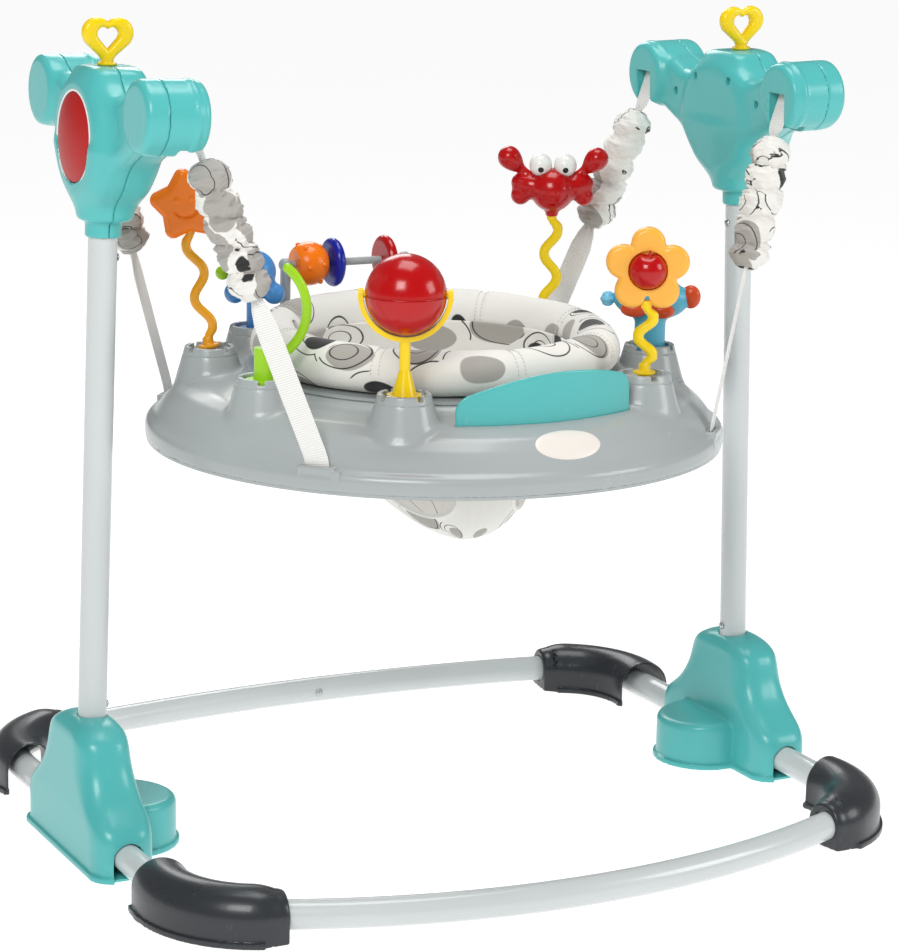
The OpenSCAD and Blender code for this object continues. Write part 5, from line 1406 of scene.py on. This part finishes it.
piece("crab_pupils", wrap(pupil_field, (-20, -18, 168), (20, -8, 179), 0.7), black, "crab", crab_spot)
piece("crab_shell", wrap(crab_field, (-67, -30, 114), (67, 30, 202), 1.2), red, "crab", crab_spot,
      ["crab_body"])
finish_node(yellow, "rattle_fork")
finish_node(white, "crab_eyes")
finish_node(red, "rattle_ball", "red_disc")
finish_node(lime, "play_arch")
finish_node(orange, "bumpy_roller")
finish_node(navy, "blue_disc")

# %% [markdown]
# ## Flower, figure and plane
# The flower is flat and its apple is half a ball. The figure and the plane are rounder, from balls
# and stretched balls on a post that ends in the hub's bore. Small balls and wings of another colour
# are pieces of their own, because a moulded toy gets its colours from separate mouldings.

# %% Flower
def flower_field(x, y, z):
    z = z - FLOWER_Z
    body = np.hypot(x, z) - FLOWER_R
    for k in range(5):
        a = math.radians(90 + 72 * k)
        petal_at = np.hypot(x - FLOWER_R * math.cos(a), z - FLOWER_R * math.sin(a))
        body = join(body, petal_at - PETAL_R, 4)
    body = meet(body, np.abs(y) - 8, 7)
    body = cut(body, rod(x, z, y, 20.3, -20, -4), 1.5)
    return cut(body, block(x, y, z, (-3, -6.3, -60), (3, 6.3, -22), 0.6), 0.6)


def apple_field(x, y, z):
    z = z - FLOWER_Z
    y = y + 4
    dent = 4 * np.exp(-((x / 6) ** 2 + ((z - 19) / 5) ** 2))
    body = np.maximum(np.sqrt(x ** 2 + y ** 2 + z ** 2) - APPLE_R + dent, y)
    return join(body, rod(x - 0.2 * (z - 15), y + 9, z, 1.5, 13, 25, 0.8), 1.5)


# %% Figure
def figure_field(x, y, z):
    body = ball(x, y, z, (0, 0, 60), 24)
    for s in (-1, 1):
        body = join(body, ball(x, y, z, (22 * s, -2, 36), 12), 7)
    body = join(body, rod(x, y, z, 9, -3.4, 44, 1.5), 5)
    body = join(body, rod(x, y, z, 19, -6.2, -3.2, 0.8), 1)
    body = join(body, rod(x, y, z, 8.1, -18.5, -4), 0.8)
    return join(body, rod(y, z - 58, x, 4, -33, -18), 3)


def figure_ball_field(x, y, z):
    return cut(ball(x, y, z, (-36, 0, 58), 8), rod(y, z - 58, x, 4.1, -33.2, 0))


# %% Plane
def plane_field(x, y, z):
    h = z - 50
    body = (np.sqrt((x / 42) ** 2 + (y / 24) ** 2 + (h / 24) ** 2) - 1) * 24
    body = join(body, rod(x - 42, h - 4, y, 10, -4, 4, 2), 4)
    body = join(body, rod(x, y, z, 17, -3.4, 38, 2), 6)
    body = join(body, rod(x, y, z, 19, -6.2, -3.2, 0.8), 1)
    return join(body, rod(x, y, z, 8.1, -18.5, -4), 0.8)


def wing_field(x, y, z):
    wings = (np.sqrt(((np.abs(x) - 15) / 15) ** 2 + ((y + 21) / 9) ** 2 + ((z - 40) / 8.5) ** 2) - 1) * 8.5
    fin = (np.sqrt(((x - 44) / 11) ** 2 + (y / 7) ** 2 + ((z - 54) / 13) ** 2) - 1) * 7
    return np.minimum(wings, fin)


def plane_ball_field(x, y, z):
    rib = 0.5 * np.cos(0.9 * (z - 47))
    return join(ball(x, y, z, (-48, 0, 47), 8 + rib), rod(y, z - 47, x, 4, -46, -38), 2)


# %% Flower, figure and plane in place
figure_spot, plane_spot = hub_frame(HUBS["figure"]), hub_frame(HUBS["plane"], -40)
piece("flower_petals", wrap(flower_field, (-48, -11, 60), (48, 11, 156), 1.3), petal, "flower",
      flower_spot, ["flower_head"])
piece("flower_apple", wrap(apple_field, (-23, -26, 86), (23, -2, 131), 1.0), red, "flower",
      flower_spot, ["flower_center"])
piece("figure_body", wrap(figure_field, (-47, -27, -21), (38, 27, 87), 1.5), blue, "figure",
      figure_spot, ["blue_figure"])
piece("figure_ball", wrap(figure_ball_field, (-46, -10, 48), (-26, 10, 68), 0.9), lime, "figure",
      figure_spot)
piece("plane_body", wrap(plane_field, (-46, -27, -21), (56, 27, 77), 1.5), plane_blue, "plane",
      plane_spot, ["toy_plane"])
piece("plane_ball", wrap(plane_ball_field, (-59, -10, 36), (-35, 10, 58), 0.9), sky, "plane",
      plane_spot)
piece("plane_wings", wrap(wing_field, (-33, -33, 28), (58, 10, 70), 1.2), wing_orange, "plane",
      plane_spot)

# %% [markdown]
# ## Light and floor
# A studio shot of a white and grey product wants a large soft key from the upper left, a weaker
# fill from the right, and lights above and behind. The surround is dim, so that the colours stay
# full. The floor is one pale sheet with a light of its own that runs out of sight. It is stage, not
# part of the object.

# %% Light and floor
def area_light(name, spot, aim, size, power):
    lamp = bpy.data.lights.new(name, "AREA")
    lamp.energy, lamp.size = power, size
    made = bpy.data.objects.new(name, lamp)
    way = (Vector(aim) - Vector(spot)).to_track_quat("-Z", "Y")
    made.matrix_world = Matrix.LocRotScale(Vector(spot), way, None)
    bpy.context.scene.collection.objects.link(made)


area_light("key", (-2.2, -2.4, 2.6), (0, 0, 0.45), 1.4, 74)
area_light("fill", (2.6, -2.2, 1.7), (0, 0, 0.45), 1.4, 36)
area_light("top", (0.2, 0.2, 3.4), (0, 0, 0.4), 1.6, 42)
area_light("rim", (0.8, 2.8, 2.2), (0, 0, 0.5), 1.4, 26)
surround = bpy.data.worlds.new("surround")
surround.use_nodes = True
surround.node_tree.nodes["Background"].inputs[0].default_value = (1, 1, 1, 1)
surround.node_tree.nodes["Background"].inputs[1].default_value = 0.17
bpy.context.scene.world = surround
bpy.context.scene.view_settings.view_transform = "Standard"
floor_finish = Finish("floor_paper")
floor_tint = floor_finish.mix(floor_finish.noise(1.5), (0.36, 0.36, 0.36, 1), (0.4, 0.4, 0.4, 1))
floor_finish.feed("Base Color", floor_tint)
floor_finish.shader.inputs["Emission Color"].default_value = (1, 1, 1, 1)
floor_finish.shader.inputs["Emission Strength"].default_value = 0.88
floor_finish.shader.inputs["Roughness"].default_value = 0.9
floor_mesh = bpy.data.meshes.new("floor")
FLOOR_HALF, FLOOR_Z = 60, -0.0005
floor_spots = [(x * FLOOR_HALF, y * FLOOR_HALF, FLOOR_Z) for x, y in ((-1, -1), (1, -1), (1, 1), (-1, 1))]
floor_mesh.from_pydata(floor_spots, [], [(0, 1, 2, 3)])
floor_mesh.materials.append(floor_finish.material)
floor = bpy.data.objects.new("floor", floor_mesh)
bpy.context.scene.collection.objects.link(floor)
